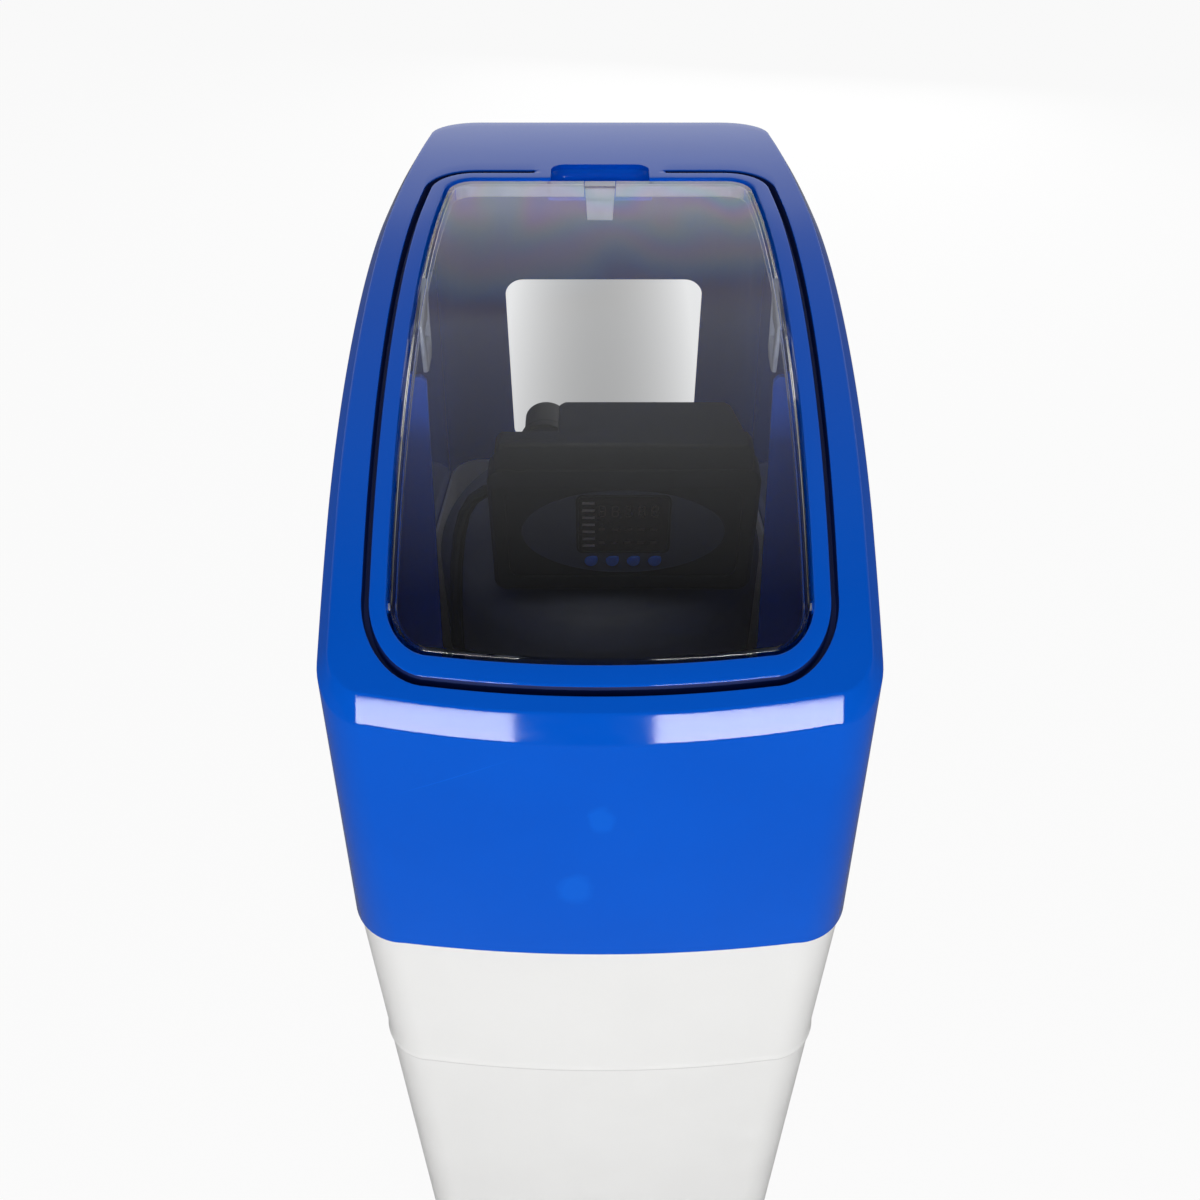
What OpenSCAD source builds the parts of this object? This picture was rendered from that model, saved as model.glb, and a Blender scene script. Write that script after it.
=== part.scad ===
// Cabinet water softener: white cabinet, blue hood with a clear lid, resin tank and control valve.
// Millimetres. The origin is on the floor under the middle of the cabinet, +Y points to the back.

/* [Cabinet] */
// Greatest width, over the hood's lower rim
body_w = 320; // [290:1:380]
// Depth from the front to the back, over the hood's lower rim
body_d = 500; // [460:1:600]
// Width at the back
back_w = 272; // [250:1:284]
// Height of the white cabinet up to the hood
cabinet_h = 795; // [780:1:960]
// Wall of the cabinet
cabinet_wall = 4; // [2.5:0.5:6]
// How far the cabinet stands back from the hood's rim
rim_step = 2; // [1:0.5:4]
// How far the front bows forwards
front_bow = 8; // [2:1:14]
// Radius of the upright front corners
front_corner_r = 36; // [24:1:48]
// Radius of the upright rear corners
rear_corner_r = 30; // [20:1:40]

/* [Hood] */
// Height of the hood at its crest
hood_h = 345; // [320:1:420]
// Height of the hood's top at the very front
hood_front_h = 200; // [180:1:230]
// Drop of the top from the crest to the back
rear_drop = 18; // [5:1:30]
// Distance of the crest behind the front
crest_back = 315; // [280:1:380]
// Wall of the hood
hood_wall = 3; // [2:0.5:4]
// Draft of the hood's walls, in degrees
hood_draft = 2.65; // [1:0.05:3]
// Chamfer along the top edge, inwards
chamfer_in = 7; // [3:1:10]
// Chamfer along the top edge, downwards
chamfer_down = 11; // [4:1:16]
// Groove round the lid's ring
groove_w = 4; // [2:0.5:6]
// Depth of that groove
groove_deep = 5; // [3:0.5:8]
// Width of the rear pipe window
window_w = 160; // [140:1:180]
// Height of the rear pipe window
window_h = 168; // [150:1:180]

/* [Lid] */
// Width of the clear lid at its front
lid_front_w = 221; // [200:1:226]
// Width of the clear lid at its back
lid_rear_w = 191; // [170:1:200]
// Front edge of the lid behind the front of the hood
lid_front = 39; // [36:1:50]
// Length of the lid, front to back
lid_len = 318; // [300:1:325]
// Thickness of the lid
lid_t = 3; // [2:0.5:4]
// Depth of the lid's skirt
lid_skirt = 12; // [8:1:14]
// Gap between the lid and the hood
lid_gap = 2; // [1.5:0.25:3]
// Radius of the lid's pivot pins
pivot_r = 2; // [1.5:0.25:2.5]

/* [Resin tank] */
// Radius of the resin tank
tank_r = 127; // [100:1:130]
// Height of the tank to the top of its neck
tank_h = 893; // [880:1:900]
// Distance of the tank's axis behind the front
tank_back = 337; // [330:1:345]
// Wall of the tank
tank_wall = 4; // [3:0.5:6]
// Radius of the riser tube in the tank
riser_r = 13.3; // [11:0.1:16]

/* [Control valve] */
// Width of the valve's front cover
head_w = 183; // [176:1:190]
// Height of the valve's front cover
head_h = 125; // [122:1:132]
// How far the front cover lies to the right of the tank's axis
head_shift = 16; // [10:1:20]
// Front face of the valve behind the front of the hood
head_back = 238; // [236:1:242]
// Radius of the inlet and outlet stubs
port_r = 16.6; // [13:0.1:17]
// Distance between the inlet and the outlet
port_gap = 84; // [76:1:90]
// Travel of a key
key_travel = 1; // [0.5:0.1:1.5]

/* [Brine well] */
// Radius of the brine well
well_r = 42; // [36:1:44]
// Height of the brine well
well_h = 690; // [600:1:720]
// Radius of the safety float
float_r = 28; // [22:1:28]

/* [Hidden] */
$fn = 48;
fit = 0.06;                 // radial clearance of a pin that turns
slip = 0.3;                 // clearance between pieces that only pass each other
seam = cabinet_h;           // the hood's own height zero
hood_top = seam + hood_h;
front_y = -body_d / 2;
profile_power = 1.86;
taper_from = 110;           // distance behind the front where the sides start to close in
taper_power = 1.6;
bead_drop = 166;            // from the seam down to the cabinet's bead
bead_h = 1.6;
bead_out = 0.8;
lip_gap = 0.9;              // between the cabinet's lip and the hood's wall
window_shift = 3;           // of the rear window to the right
window_z = 32;              // of the rear window above the seam
window_r = 15;
screw_x = window_w / 2 + 18;
screw_z = 6;
screw_r = 1.6;
floor_t = cabinet_wall;
lip_h = 12;                 // the cabinet's lip inside the hood

lid_rear = lid_front + lid_len;
lid_bow = 4;
lid_drop = 1;               // of the lid below the hood's top
lid_corner_r = 22;
lid_rear_corner_r = 16;
ring_w = 13;                // from the lid's edge to the groove's middle
opening_rim = 14;           // depth of the rim round the lid's opening
rim_t = 2.5;
pivot_d = lid_front + 27;
pivot_boss_r = 3.6;
pivot_drop = 8;
clip_d0 = lid_front + 174;
clip_d1 = lid_front + 209;
clip_t = 2.5;
clip_hole_in = 10;          // from the clip's sides to its window
clip_hole_z = 302;          // window of the clip, above the seam
clip_hole_top = 313;
catch_low = 296;            // block beside the clip, above the seam
catch_z = 304;              // nose of the catch, above the seam
catch_top = 311;
recess_w = 64;
recess_l = 25;
recess_deep = 13;
latch_w = 20;
latch_deep = 27;
latch_drop = 1.2;           // of the latch below the hood's top
latch_t = 2.4;
latch_pad = 8.7;
slot_in = 9;                // of the latch's slot in the lid
rib_t = 4;
rib_d = 223;
rib_top = 282;
rib_low = lip_h + 1;
rib_foot = 12;              // of the rib's lower end, out from the lid's edge

tank_y = front_y + tank_back;
boot_t = 4;
tank_z0 = floor_t + boot_t;
neck_top = tank_z0 + tank_h;
neck_r = 42;
neck_bore = 33.6;
shoulder_z = neck_top - 55;

head_y = front_y + head_back;
head_z = neck_top - 16.5;
head_cover_d = 26;          // depth of the wide front cover
panel_t = 4;
brow_h = 17;                // from the front panel's top edge up to the top of the head
head_corner_r = 9;
shell_t = 2.5;
screw_in = 12;              // of the cover's screws from its sides
screw_down = 30;            // of the upper screws below the top
gear_box_x0 = head_shift - 44;
gear_box_x1 = head_shift + 73;
gear_box_d = 48;            // depth of the head, cover and gear housing together
head_top_d = 58;            // depth of its raised top
raised_h = 25;
axis_z = head_z + 62;       // height of the drive shaft
shaft_r = 5;
gear_m = 1.5;
gear_teeth = 48;
pinion_teeth = 12;
gear_pitch_r = gear_m * gear_teeth / 2;
pinion_pitch_r = gear_m * pinion_teeth / 2;
pinion_x = head_shift + gear_pitch_r + pinion_pitch_r;
motor_gap = 3.5;            // from the motor's face to the gear
motor_r = 17;
motor_l = 15;
motor_shaft_r = 2;
motor_ear = 22;             // screw ears of the motor, above and below its shaft
socket_x = gear_box_x1 - 14;
socket_z = head_z + 20;
gear_y = head_y + 36;
gear_t = 8;
body_y0 = head_y + gear_box_d + 2;
disc_r = 27;
disc_t = 8;
disc_y = body_y0 + 20;      // front of the moving disc
disc_port_at = 15;
disc_port_r = 5;
port_z = neck_top + 24;
port_end = tank_y + 56;
port_x = port_gap / 2;
block_x = 50;               // half width of the valve body's block
block_y1 = tank_y + 22;     // its back
block_low_top = neck_top + 39;
stub_y0 = block_y1 - 12;     // where the stubs leave the block
block_top = neck_top + 64;  // top of its raised part behind the gear housing
flange_h = 4;
chamber_l = 45;
injector_y = tank_y - 3;
injector_z = neck_top + 22;
injector_t = 7;
brine_port_y = tank_y - 29;
brine_port_z = neck_top + 22;
drain_z = neck_top + 29;
drain_l = 26;               // free length of the drain's hose end
port_wall = 4;
stub_l = 25;                // free length of the inlet and outlet stubs
stub_step = 1;              // the stub is this much thicker behind its free length
collar_y = block_y1 + 0.1;
collar_t = 5.5;
collar_wall = 2.1;
seal_y = collar_y + collar_t + 1.1;
seal_r = 1;
spindle_r = 1.2;
turbine_r = port_r - port_wall - 1.6;
turbine_y = port_end - 18;

key_pitch = 14.9;
key_w = 10;
key_z = head_z + 29.5;
key_stand = 1.8;
board_y = head_y + panel_t + key_stand + key_travel + 0.4;
jack_r = 2.8;
screen_w = 62;
screen_h = 49;
screen_edge = 0.2;          // between the window and its opening
screen_z = head_z + 63;
panel_w = 160;
panel_h = 78;
panel_deep = 1.4;           // of the shallow recess in the panel
panel_z = head_z + 54.5;

well_x = -97;
well_y = front_y + 150;
well_wall = 3;
well_tube = 33.5;           // from the well's axis to the brine tube
overflow_x = -90;
overflow_z = 700;
overflow_r = 10;            // threaded stub through the cabinet's wall
flange_r = 16;
hose_r = 8;
hose_l = 28;                // free length of the overflow's hose end
hose_bore = 5.5;
valve_foot_z = floor_t + 3; // underside of the safety valve
float_z = 340;              // underside of the float above the valve's foot
float_h = 80;
rod_r = 3;
rod_l = 520;
// way of the brine tube from the control valve down to the safety valve
tube_r = 4.76;
tube_route = [[-60, 58, 923], [-74, 58, 923], [-85, 56.5, 922.3], [-94, 51, 919], [-100, 42, 912.5],
    [-103.5, 29, 902.5], [-105, 10, 889], [-105, -10, 872], [-104, -28, 851], [-102, -43, 826],
    [-100, -55, 798], [-98, -63, 770], [-97, -66.5, 744], [-97, -66.5, 720], [-97, -66.5, 400],
    [-97, -66.5, 41]];

// ---- shared outlines ----

// Half width of the body at a distance behind the front
function side_x(d) = body_w / 2
    - (body_w - back_w) / 2 * pow(max(0, (d - taper_from) / (body_d - taper_from)), taper_power);

function right_outline(i) = let (
        w = body_w / 2, fr = front_corner_r, rr = rear_corner_r,
        cx = w - fr, cy = front_bow + fr, rx = side_x(body_d - rr) - rr)
    concat(
        [for (k = [0:2]) let (x = cx * k / 3) [x, front_bow * pow(x / cx, 2) + i]],
        [for (a = [-90:15:0]) [cx + (fr - i) * cos(a), cy + (fr - i) * sin(a)]],
        [for (k = [1:6]) let (d = cy + (body_d - rr - cy) * k / 6) [side_x(d) - i, d]],
        [for (a = [22.5:22.5:90]) [rx + (rr - i) * cos(a), body_d - rr + (rr - i) * sin(a)]]);

function mirrored(p) = [for (k = [len(p) - 1:-1:0]) if (abs(p[k][0]) > 0.01) [-p[k][0], p[k][1]]];

function body_outline(i) = let (r = right_outline(i)) concat(r, mirrored(r));

// The body's plan, drawn in by i all round
module plan(i) {
    translate([0, front_y])
        polygon(body_outline(i));
}

// Height of the hood's top above the seam, at a distance behind the front
function top_z(d) = d < crest_back
    ? hood_h - (hood_h - hood_front_h) * pow((crest_back - d) / crest_back, profile_power)
    : hood_h - rear_drop * pow((d - crest_back) / (body_d - crest_back), 2);

module drafted_plan(i, below) {
    hull() {
        translate([0, 0, seam - below])
            linear_extrude(0.01)
                plan(i);
        translate([0, 0, hood_top + 20])
            linear_extrude(0.01)
                plan(i + (hood_h + 20) * tan(hood_draft));
    }
}

module under_profile(drop) {
    rotate([90, 0, 90])
        translate([front_y, seam, -body_w])
            linear_extrude(2 * body_w)
                polygon(concat([[body_d, -5], [0, -5]],
                    [for (k = [0:22]) let (d = body_d * k / 22) [d, top_z(d) - drop]]));
}

// The hood's outer form with its chamfered top edge, drawn in by i, lowered by drop, and reaching
// below the seam where it is used as a cut
module hood_block(i, drop, below = 0) {
    hull() {
        intersection() {
            drafted_plan(i, below);
            under_profile(drop + chamfer_down);
        }
        intersection() {
            drafted_plan(i + chamfer_in, below);
            under_profile(drop);
        }
    }
}

// ---- lid outline ----

function lid_x(d) = lid_front_w / 2
    - (lid_front_w - lid_rear_w) / 2 * pow(max(0, (d - lid_front) / lid_len), 2);

function lid_half(g) = let (
        fr = lid_corner_r + g, rr = lid_rear_corner_r + g, cx = lid_front_w / 2 + g - fr,
        cy = lid_front + lid_bow - g + fr, ry = lid_rear + g - rr, rx = lid_x(ry) + g - rr)
    concat(
        [for (k = [0:2]) let (x = cx * k / 3) [x, lid_front - g + lid_bow * pow(x / cx, 2)]],
        [for (a = [-90:15:0]) [cx + fr * cos(a), cy + fr * sin(a)]],
        [for (k = [1:8]) let (d = cy + (ry - cy) * k / 8) [lid_x(d) + g, d]],
        [for (a = [22.5:22.5:90]) [rx + rr * cos(a), ry + rr * sin(a)]]);

function lid_outline(g) = let (r = lid_half(g)) concat(r, mirrored(r));

module lid_prism(g) {
    translate([0, front_y, seam + 100])
        linear_extrude(hood_h)
            polygon(lid_outline(g));
}

module box(x0, x1, y0, y1, z0, z1) {
    translate([x0, y0, z0])
        cube([x1 - x0, y1 - y0, z1 - z0]);
}

// A box with round upright edges
module round_box(x0, x1, y0, y1, z0, z1, r) {
    box(x0 + r, x1 - r, y0, y1, z0, z1);
    box(x0, x1, y0 + r, y1 - r, z0, z1);
    for (x = [x0 + r, x1 - r], y = [y0 + r, y1 - r])
        translate([x, y, z0])
            cylinder(r = r, h = z1 - z0);
}

// A plate that faces the front, with round corners, from y0 to y1
module round_plate(x0, x1, z0, z1, y0, y1, r) {
    box(x0 + r, x1 - r, y0, y1, z0, z1);
    box(x0, x1, y0, y1, z0 + r, z1 - r);
    for (x = [x0 + r, x1 - r], z = [z0 + r, z1 - r])
        translate([x, y1, z])
            rotate([90, 0, 0])
                cylinder(r = r, h = y1 - y0);
}

module along_y(x, z, y0, y1, r, r2 = 0) {
    translate([x, y0, z])
        rotate([-90, 0, 0])
            cylinder(r1 = r, r2 = r2 > 0 ? r2 : r, h = y1 - y0);
}

module along_x(y, z, x0, x1, r) {
    translate([x0, y, z])
        rotate([0, 90, 0])
            cylinder(r = r, h = x1 - x0);
}

module both_sides() {
    children();
    mirror([1, 0, 0])
        children();
}

// ---- cabinet and hood ----

module cabinet() {
    color("WhiteSmoke")
        difference() {
            union() {
                linear_extrude(cabinet_h)
                    plan(rim_step);
                linear_extrude(cabinet_h + lip_h)
                    plan(hood_wall + lip_gap);
                translate([0, 0, cabinet_h - bead_drop])
                    linear_extrude(bead_h)
                        plan(rim_step - bead_out);
            }
            translate([0, 0, floor_t])
                linear_extrude(cabinet_h + lip_h)
                    plan(rim_step + cabinet_wall);
            // hole for the overflow fitting
            along_y(overflow_x, overflow_z, 0, body_d, overflow_r + 0.5);
            // the lip gives way to the pipe window
            box(window_shift - window_w / 2, window_shift + window_w / 2, body_d / 4, body_d,
                seam + 0.01, seam + 2 * lip_h);
            for (s = [-1, 1])
                along_y(s * screw_x, seam + screw_z, body_d / 4, body_d, screw_r + 0.1);
        }
}

module hood_screws() {
    color("Silver")
        for (s = [-1, 1]) {
            along_y(s * screw_x, seam + screw_z, body_d / 2 - 14, body_d / 2, screw_r);
            along_y(s * screw_x, seam + screw_z, body_d / 2 - 0.1, body_d / 2 + 1.8, screw_r + 2);
        }
}

module rib_shape() {
    intersection() {
        hood_block(0.5, 0.5);
        translate([0, front_y + rib_d + rib_t, seam])
            rotate([90, 0, 0])
                linear_extrude(rib_t)
                    polygon([[lid_x(rib_d) - 1, rib_top], [lid_x(rib_d) + rib_foot, rib_low],
                        [body_w, rib_low], [body_w, rib_top]]);
    }
}

module hood() {
    win_z0 = seam + window_z;
    color("RoyalBlue")
        difference() {
            union() {
                difference() {
                    hood_block(0, 0);
                    hood_block(hood_wall, hood_wall, 2);
                }
                // rim round the lid's opening
                difference() {
                    intersection() {
                        hood_block(1, 1);
                        lid_prism(lid_gap + rim_t);
                    }
                    hood_block(0, opening_rim);
                }
                // channel under the groove
                difference() {
                    intersection() {
                        hood_block(1, 1);
                        lid_prism(ring_w + groove_w / 2 + rim_t);
                    }
                    lid_prism(ring_w - groove_w / 2 - rim_t);
                    hood_block(-1, groove_deep + rim_t);
                }
                // pocket under the finger recess
                intersection() {
                    hood_block(1, 1);
                    difference() {
                        box(-recess_w / 2 - 2.5, recess_w / 2 + 2.5, front_y + lid_rear,
                            front_y + lid_rear + recess_l + 2.5, seam + 200, hood_top);
                        translate([0, 0, -recess_deep - 3])
                            hood_block(0, 0);
                    }
                }
                both_sides()
                    rib_shape();
                // catches beside the lid's clips
                both_sides()
                    intersection() {
                        hood_block(1, 1);
                        union() {
                            box(lid_x(clip_d1) + lid_gap, lid_x(clip_d0) + lid_gap + rim_t,
                                front_y + clip_d0, front_y + clip_d1, seam + catch_low, hood_top);
                            box(lid_x(clip_d0) + 0.5, lid_x(clip_d0) + 4,
                                front_y + clip_d0 + clip_hole_in + 1, front_y + clip_d1 - clip_hole_in - 1,
                                seam + catch_z, seam + catch_top);
                        }
                    }
            }
            lid_prism(lid_gap);
            // groove, left out behind the lid's finger recess
            difference() {
                lid_prism(ring_w + groove_w / 2);
                lid_prism(ring_w - groove_w / 2);
                hood_block(-1, groove_deep);
                box(-recess_w / 2 - 13, recess_w / 2 + 13, front_y + lid_rear, body_d, seam, hood_top + 50);
            }
            // finger recess
            difference() {
                box(-recess_w / 2, recess_w / 2, front_y + lid_rear - 5, front_y + lid_rear + recess_l,
                    seam + 200, hood_top + 20);
                translate([0, 0, -recess_deep])
                    hood_block(0, 0);
            }
            // pipe window in the rear wall
            round_plate(window_shift - window_w / 2, window_shift + window_w / 2, win_z0,
                win_z0 + window_h, body_d / 2 - 40, body_d / 2 + 10, window_r);
            // clearance round the lid's pivots
            both_sides()
                along_x(front_y + pivot_d, seam + pivot_z(), lid_x(pivot_d) - 5,
                    lid_x(pivot_d) + lid_gap + rim_t + 4, pivot_boss_r + 0.1);
            for (s = [-1, 1])
                along_y(s * screw_x, seam + screw_z, body_d / 2 - 6, body_d, screw_r + slip);
        }
}

function pivot_z() = top_z(pivot_d) - pivot_drop;

// ---- lid ----

module lid() {
    color("LightCyan", 0.4)
        difference() {
            union() {
                difference() {
                    intersection() {
                        lid_prism(0);
                        hood_block(0, lid_drop);
                    }
                    intersection() {
                        lid_prism(-clip_t);
                        hood_block(0, lid_drop + lid_t);
                    }
                    hood_block(0, lid_drop + lid_skirt);
                }
                // side clips
                both_sides()
                    intersection() {
                        hood_block(0, 2);
                        lid_prism(0);
                        difference() {
                            box(lid_x(clip_d1) - clip_t, lid_x(clip_d1), front_y + clip_d0,
                                front_y + clip_d1, seam + rib_top + 8, hood_top);
                            box(0, body_w, front_y + clip_d0 + clip_hole_in, front_y + clip_d1 - clip_hole_in,
                                seam + clip_hole_z, seam + clip_hole_top);
                        }
                    }
            }
            // slot for the latch
            box(-latch_w / 2 - slip, latch_w / 2 + slip, front_y + lid_rear - slot_in,
                front_y + lid_rear + slot_in, seam + hood_front_h, hood_top + 9);
        }
}

module lid_pivot_pins() {
    color("LightCyan", 0.6)
        both_sides()
            along_x(front_y + pivot_d, seam + pivot_z(), lid_front_w / 2 + 0.02,
                lid_x(pivot_d) + lid_gap + 6, pivot_r);
}

module lid_pivot_sockets() {
    x0 = lid_x(pivot_d) + lid_gap - 0.6;
    color("RoyalBlue")
        both_sides()
            difference() {
                along_x(front_y + pivot_d, seam + pivot_z(), x0, x0 + 6, pivot_boss_r);
                along_x(front_y + pivot_d, seam + pivot_z(), x0 - 1, x0 + 7, pivot_r + fit);
            }
}

module lid_latch() {
    y1 = front_y + lid_rear;
    z1 = seam + top_z(lid_rear) - latch_drop;
    color("LightCyan", 0.6) {
        box(-latch_w / 2, latch_w / 2, y1 - latch_pad, y1, z1 - lid_t, z1);
        box(-latch_w / 2, latch_w / 2, y1 - latch_t, y1, z1 - latch_deep, z1);
        box(-latch_w / 2 + 3, latch_w / 2 - 3, y1, y1 + 1.2, z1 - 20, z1 - 16);
    }
}

// ---- control valve ----

module valve_cover() {
    x0 = head_shift - head_w / 2;
    x1 = head_shift + head_w / 2;
    top = head_z + head_h;
    y0 = head_y + panel_t;
    color([0.11, 0.12, 0.13])
        difference() {
            union() {
                round_plate(x0, x1, head_z, top - brow_h, y0, head_y + head_cover_d, head_corner_r);
                round_plate(x0 + 9, x1 - 9, top - 60, top, y0 + 3, head_y + head_cover_d, 8);
            }
            round_plate(x0 + shell_t, x1 - shell_t, head_z + shell_t, top - brow_h - shell_t, y0 - 1,
                head_y + head_cover_d - shell_t, head_corner_r - 2);
            // opening to the gear housing
            box(gear_box_x0 + 3, gear_box_x1 - 3, y0, head_y + head_cover_d + 1, head_z + 12, top - 22);
            for (x = [x0 + screw_in, x1 - screw_in], z = [head_z + screw_in, top - screw_down])
                along_y(x, z, y0, head_y + head_cover_d + 1, 1.9);
        }
}

module valve_gear_housing() {
    y0 = head_y + head_cover_d;
    y1 = head_y + gear_box_d;
    z0 = head_z + 6;
    z1 = head_z + head_h;
    color([0.11, 0.12, 0.13]) {
        difference() {
            union() {
                round_plate(gear_box_x0, gear_box_x1, z0, z1, y0, y1, 6);
                round_plate(gear_box_x0, gear_box_x1, z1 - raised_h, z1, y0, head_y + head_top_d, 6);
            }
            round_plate(gear_box_x0 + shell_t, gear_box_x1 - shell_t, z0 + shell_t, z1 - shell_t, y0 - 1,
                y1 - shell_t, 4);
            round_plate(gear_box_x0 + shell_t, gear_box_x1 - shell_t, z1 - raised_h + shell_t, z1 - shell_t,
                y0 - 1, head_y + head_top_d - shell_t, 4);
            along_y(head_shift, axis_z, y0, y1 + 1, shaft_r + 1);
            along_y(socket_x, socket_z, y0, y1 + 1, 4.6);
        }
        for (s = [-1, 1])
            along_y(pinion_x, axis_z + s * motor_ear, gear_y - motor_gap, y1 - shell_t, 4);
    }
}

module front_panel() {
    x0 = head_shift - head_w / 2;
    x1 = head_shift + head_w / 2;
    color([0.13, 0.14, 0.16]) {
        // posts that carry the circuit board
        for (x = [head_shift - 70, head_shift + 70], z = [head_z + 22, head_z + 84])
            along_y(x, z, head_y + panel_t - 1, board_y - 0.02, 3);
        difference() {
            round_plate(x0, x1, head_z, head_z + head_h - brow_h, head_y, head_y + panel_t, head_corner_r);
            round_plate(head_shift - panel_w / 2, head_shift + panel_w / 2, panel_z - panel_h / 2,
                panel_z + panel_h / 2, head_y - 1, head_y + panel_deep, 8);
            // display opening
            round_plate(head_shift - screen_w / 2, head_shift + screen_w / 2, screen_z - screen_h / 2,
                screen_z + screen_h / 2, head_y - 1, head_y + panel_t + 1, 3);
            for (k = [0:3])
                key_form(k, slip, head_y - 1, head_y + panel_t + 1);
            for (x = [x0 + screw_in, x1 - screw_in], z = [head_z + screw_in, head_z + head_h - screw_down])
                along_y(x, z, head_y + 2.2, head_y + panel_t + 1, 1.45);
        }
    }
}

function key_x(k) = head_shift + (k - 1.5) * key_pitch;

module key_form(k, grow, y0, y1) {
    along_y(key_x(k), key_z, y0, y1, key_w / 2 + grow);
}

module key_part(k) {
    color([0.16, 0.33, 0.63]) {
        key_form(k, 0, head_y - 0.4, head_y + panel_t + 0.6);
        along_y(key_x(k), key_z, head_y + panel_t + 0.6, head_y + panel_t + key_stand, key_w / 2 + 1.2);
    }
}

module key_1() { key_part(0); }
module key_2() { key_part(1); }
module key_3() { key_part(2); }
module key_4() { key_part(3); }

module display_window() {
    color([0.16, 0.13, 0.13])
        round_plate(head_shift - screen_w / 2 + screen_edge, head_shift + screen_w / 2 - screen_edge,
            screen_z - screen_h / 2 + screen_edge, screen_z + screen_h / 2 - screen_edge,
            head_y + panel_deep + screen_edge, head_y + panel_t, 2.8);
}

module circuit_board() {
    y0 = board_y;
    z0 = head_z + 14;
    x0 = head_shift - 78;
    x1 = head_shift + 78;
    color("DarkGreen") {
        box(x0, x1, y0, y0 + 1.6, z0, head_z + 92);
        for (k = [0:3])
            box(key_x(k) - 3, key_x(k) + 3, y0 - 0.2, y0, key_z - 3, key_z + 3);
        box(x0 + 10, x0 + 30, y0 + 1.6, y0 + 9, z0 + 8, z0 + 26);
        box(head_shift - 24, head_shift + 24, y0 - 1.4, y0, screen_z - 18, screen_z + 18);
    }
}

module cover_screws() {
    x0 = head_shift - head_w / 2;
    x1 = head_shift + head_w / 2;
    color("Silver")
        for (x = [x0 + screw_in, x1 - screw_in], z = [head_z + screw_in, head_z + head_h - screw_down]) {
            along_y(x, z, head_y + 2.4, head_y + head_cover_d + 0.1, 1.4);
            along_y(x, z, head_y + head_cover_d + 0.1, head_y + head_cover_d + 2, 3);
        }
}

// Trapezium teeth round a disc
module gear_outline(teeth, pitch_r) {
    tip = pitch_r + 0.85 * gear_m;
    root = pitch_r - 1.1 * gear_m;
    pitch = 360 / teeth;
    polygon([for (k = [0:teeth - 1], q = [[root, -0.27], [tip, -0.13], [tip, 0.13], [root, 0.27]])
        let (a = (k + q[1]) * pitch) [q[0] * cos(a), q[0] * sin(a)]]);
}

module drive_gear() {
    color("Ivory")
        difference() {
            union() {
                translate([head_shift, gear_y, axis_z])
                    rotate([-90, 0, 0])
                        linear_extrude(gear_t)
                            gear_outline(gear_teeth, gear_pitch_r);
                along_y(head_shift, axis_z, gear_y - 4, disc_y, shaft_r);
            }
            for (a = [0:60:300])
                along_y(head_shift + 21 * cos(a), axis_z + 21 * sin(a), gear_y - 1, gear_y + gear_t + 1, 6);
        }
}

module motor_pinion() {
    color("Ivory")
        difference() {
            translate([pinion_x, gear_y - 1, axis_z])
                rotate([-90, 0, 0])
                    rotate([0, 0, 15])
                        linear_extrude(gear_t + 2)
                            gear_outline(pinion_teeth, pinion_pitch_r);
            along_y(pinion_x, axis_z, gear_y - 2, gear_y + gear_t + 2, motor_shaft_r + fit);
        }
}

// Geared motor in front of the pinion, with its steel shaft and its two ears
module motor() {
    y1 = gear_y - motor_gap;
    color("Gray") {
        along_y(pinion_x, axis_z, y1 - motor_l, y1, motor_r);
        along_y(pinion_x, axis_z, y1, gear_y + gear_t + 1, motor_shaft_r);
        box(pinion_x - 5, pinion_x + 5, y1 - 2, y1, axis_z - motor_ear - 5, axis_z + motor_ear + 5);
    }
}

// Water way through a disc that starts at y0, at an angle round the drive shaft
module disc_port(a, y0) {
    along_y(head_shift + disc_port_at * cos(a), axis_z + disc_port_at * sin(a), y0 - 1, y0 + disc_t + 1,
        disc_port_r);
}

module moving_disc() {
    color("Linen")
        difference() {
            along_y(head_shift, axis_z, disc_y, disc_y + disc_t, disc_r);
            for (a = [40, 160])
                disc_port(a, disc_y);
        }
}

module fixed_disc() {
    y0 = disc_y + disc_t;
    color("DimGray")
        difference() {
            along_y(head_shift, axis_z, y0, y0 + disc_t, disc_r);
            for (a = [40:60:340])
                disc_port(a, y0);
        }
}

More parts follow.
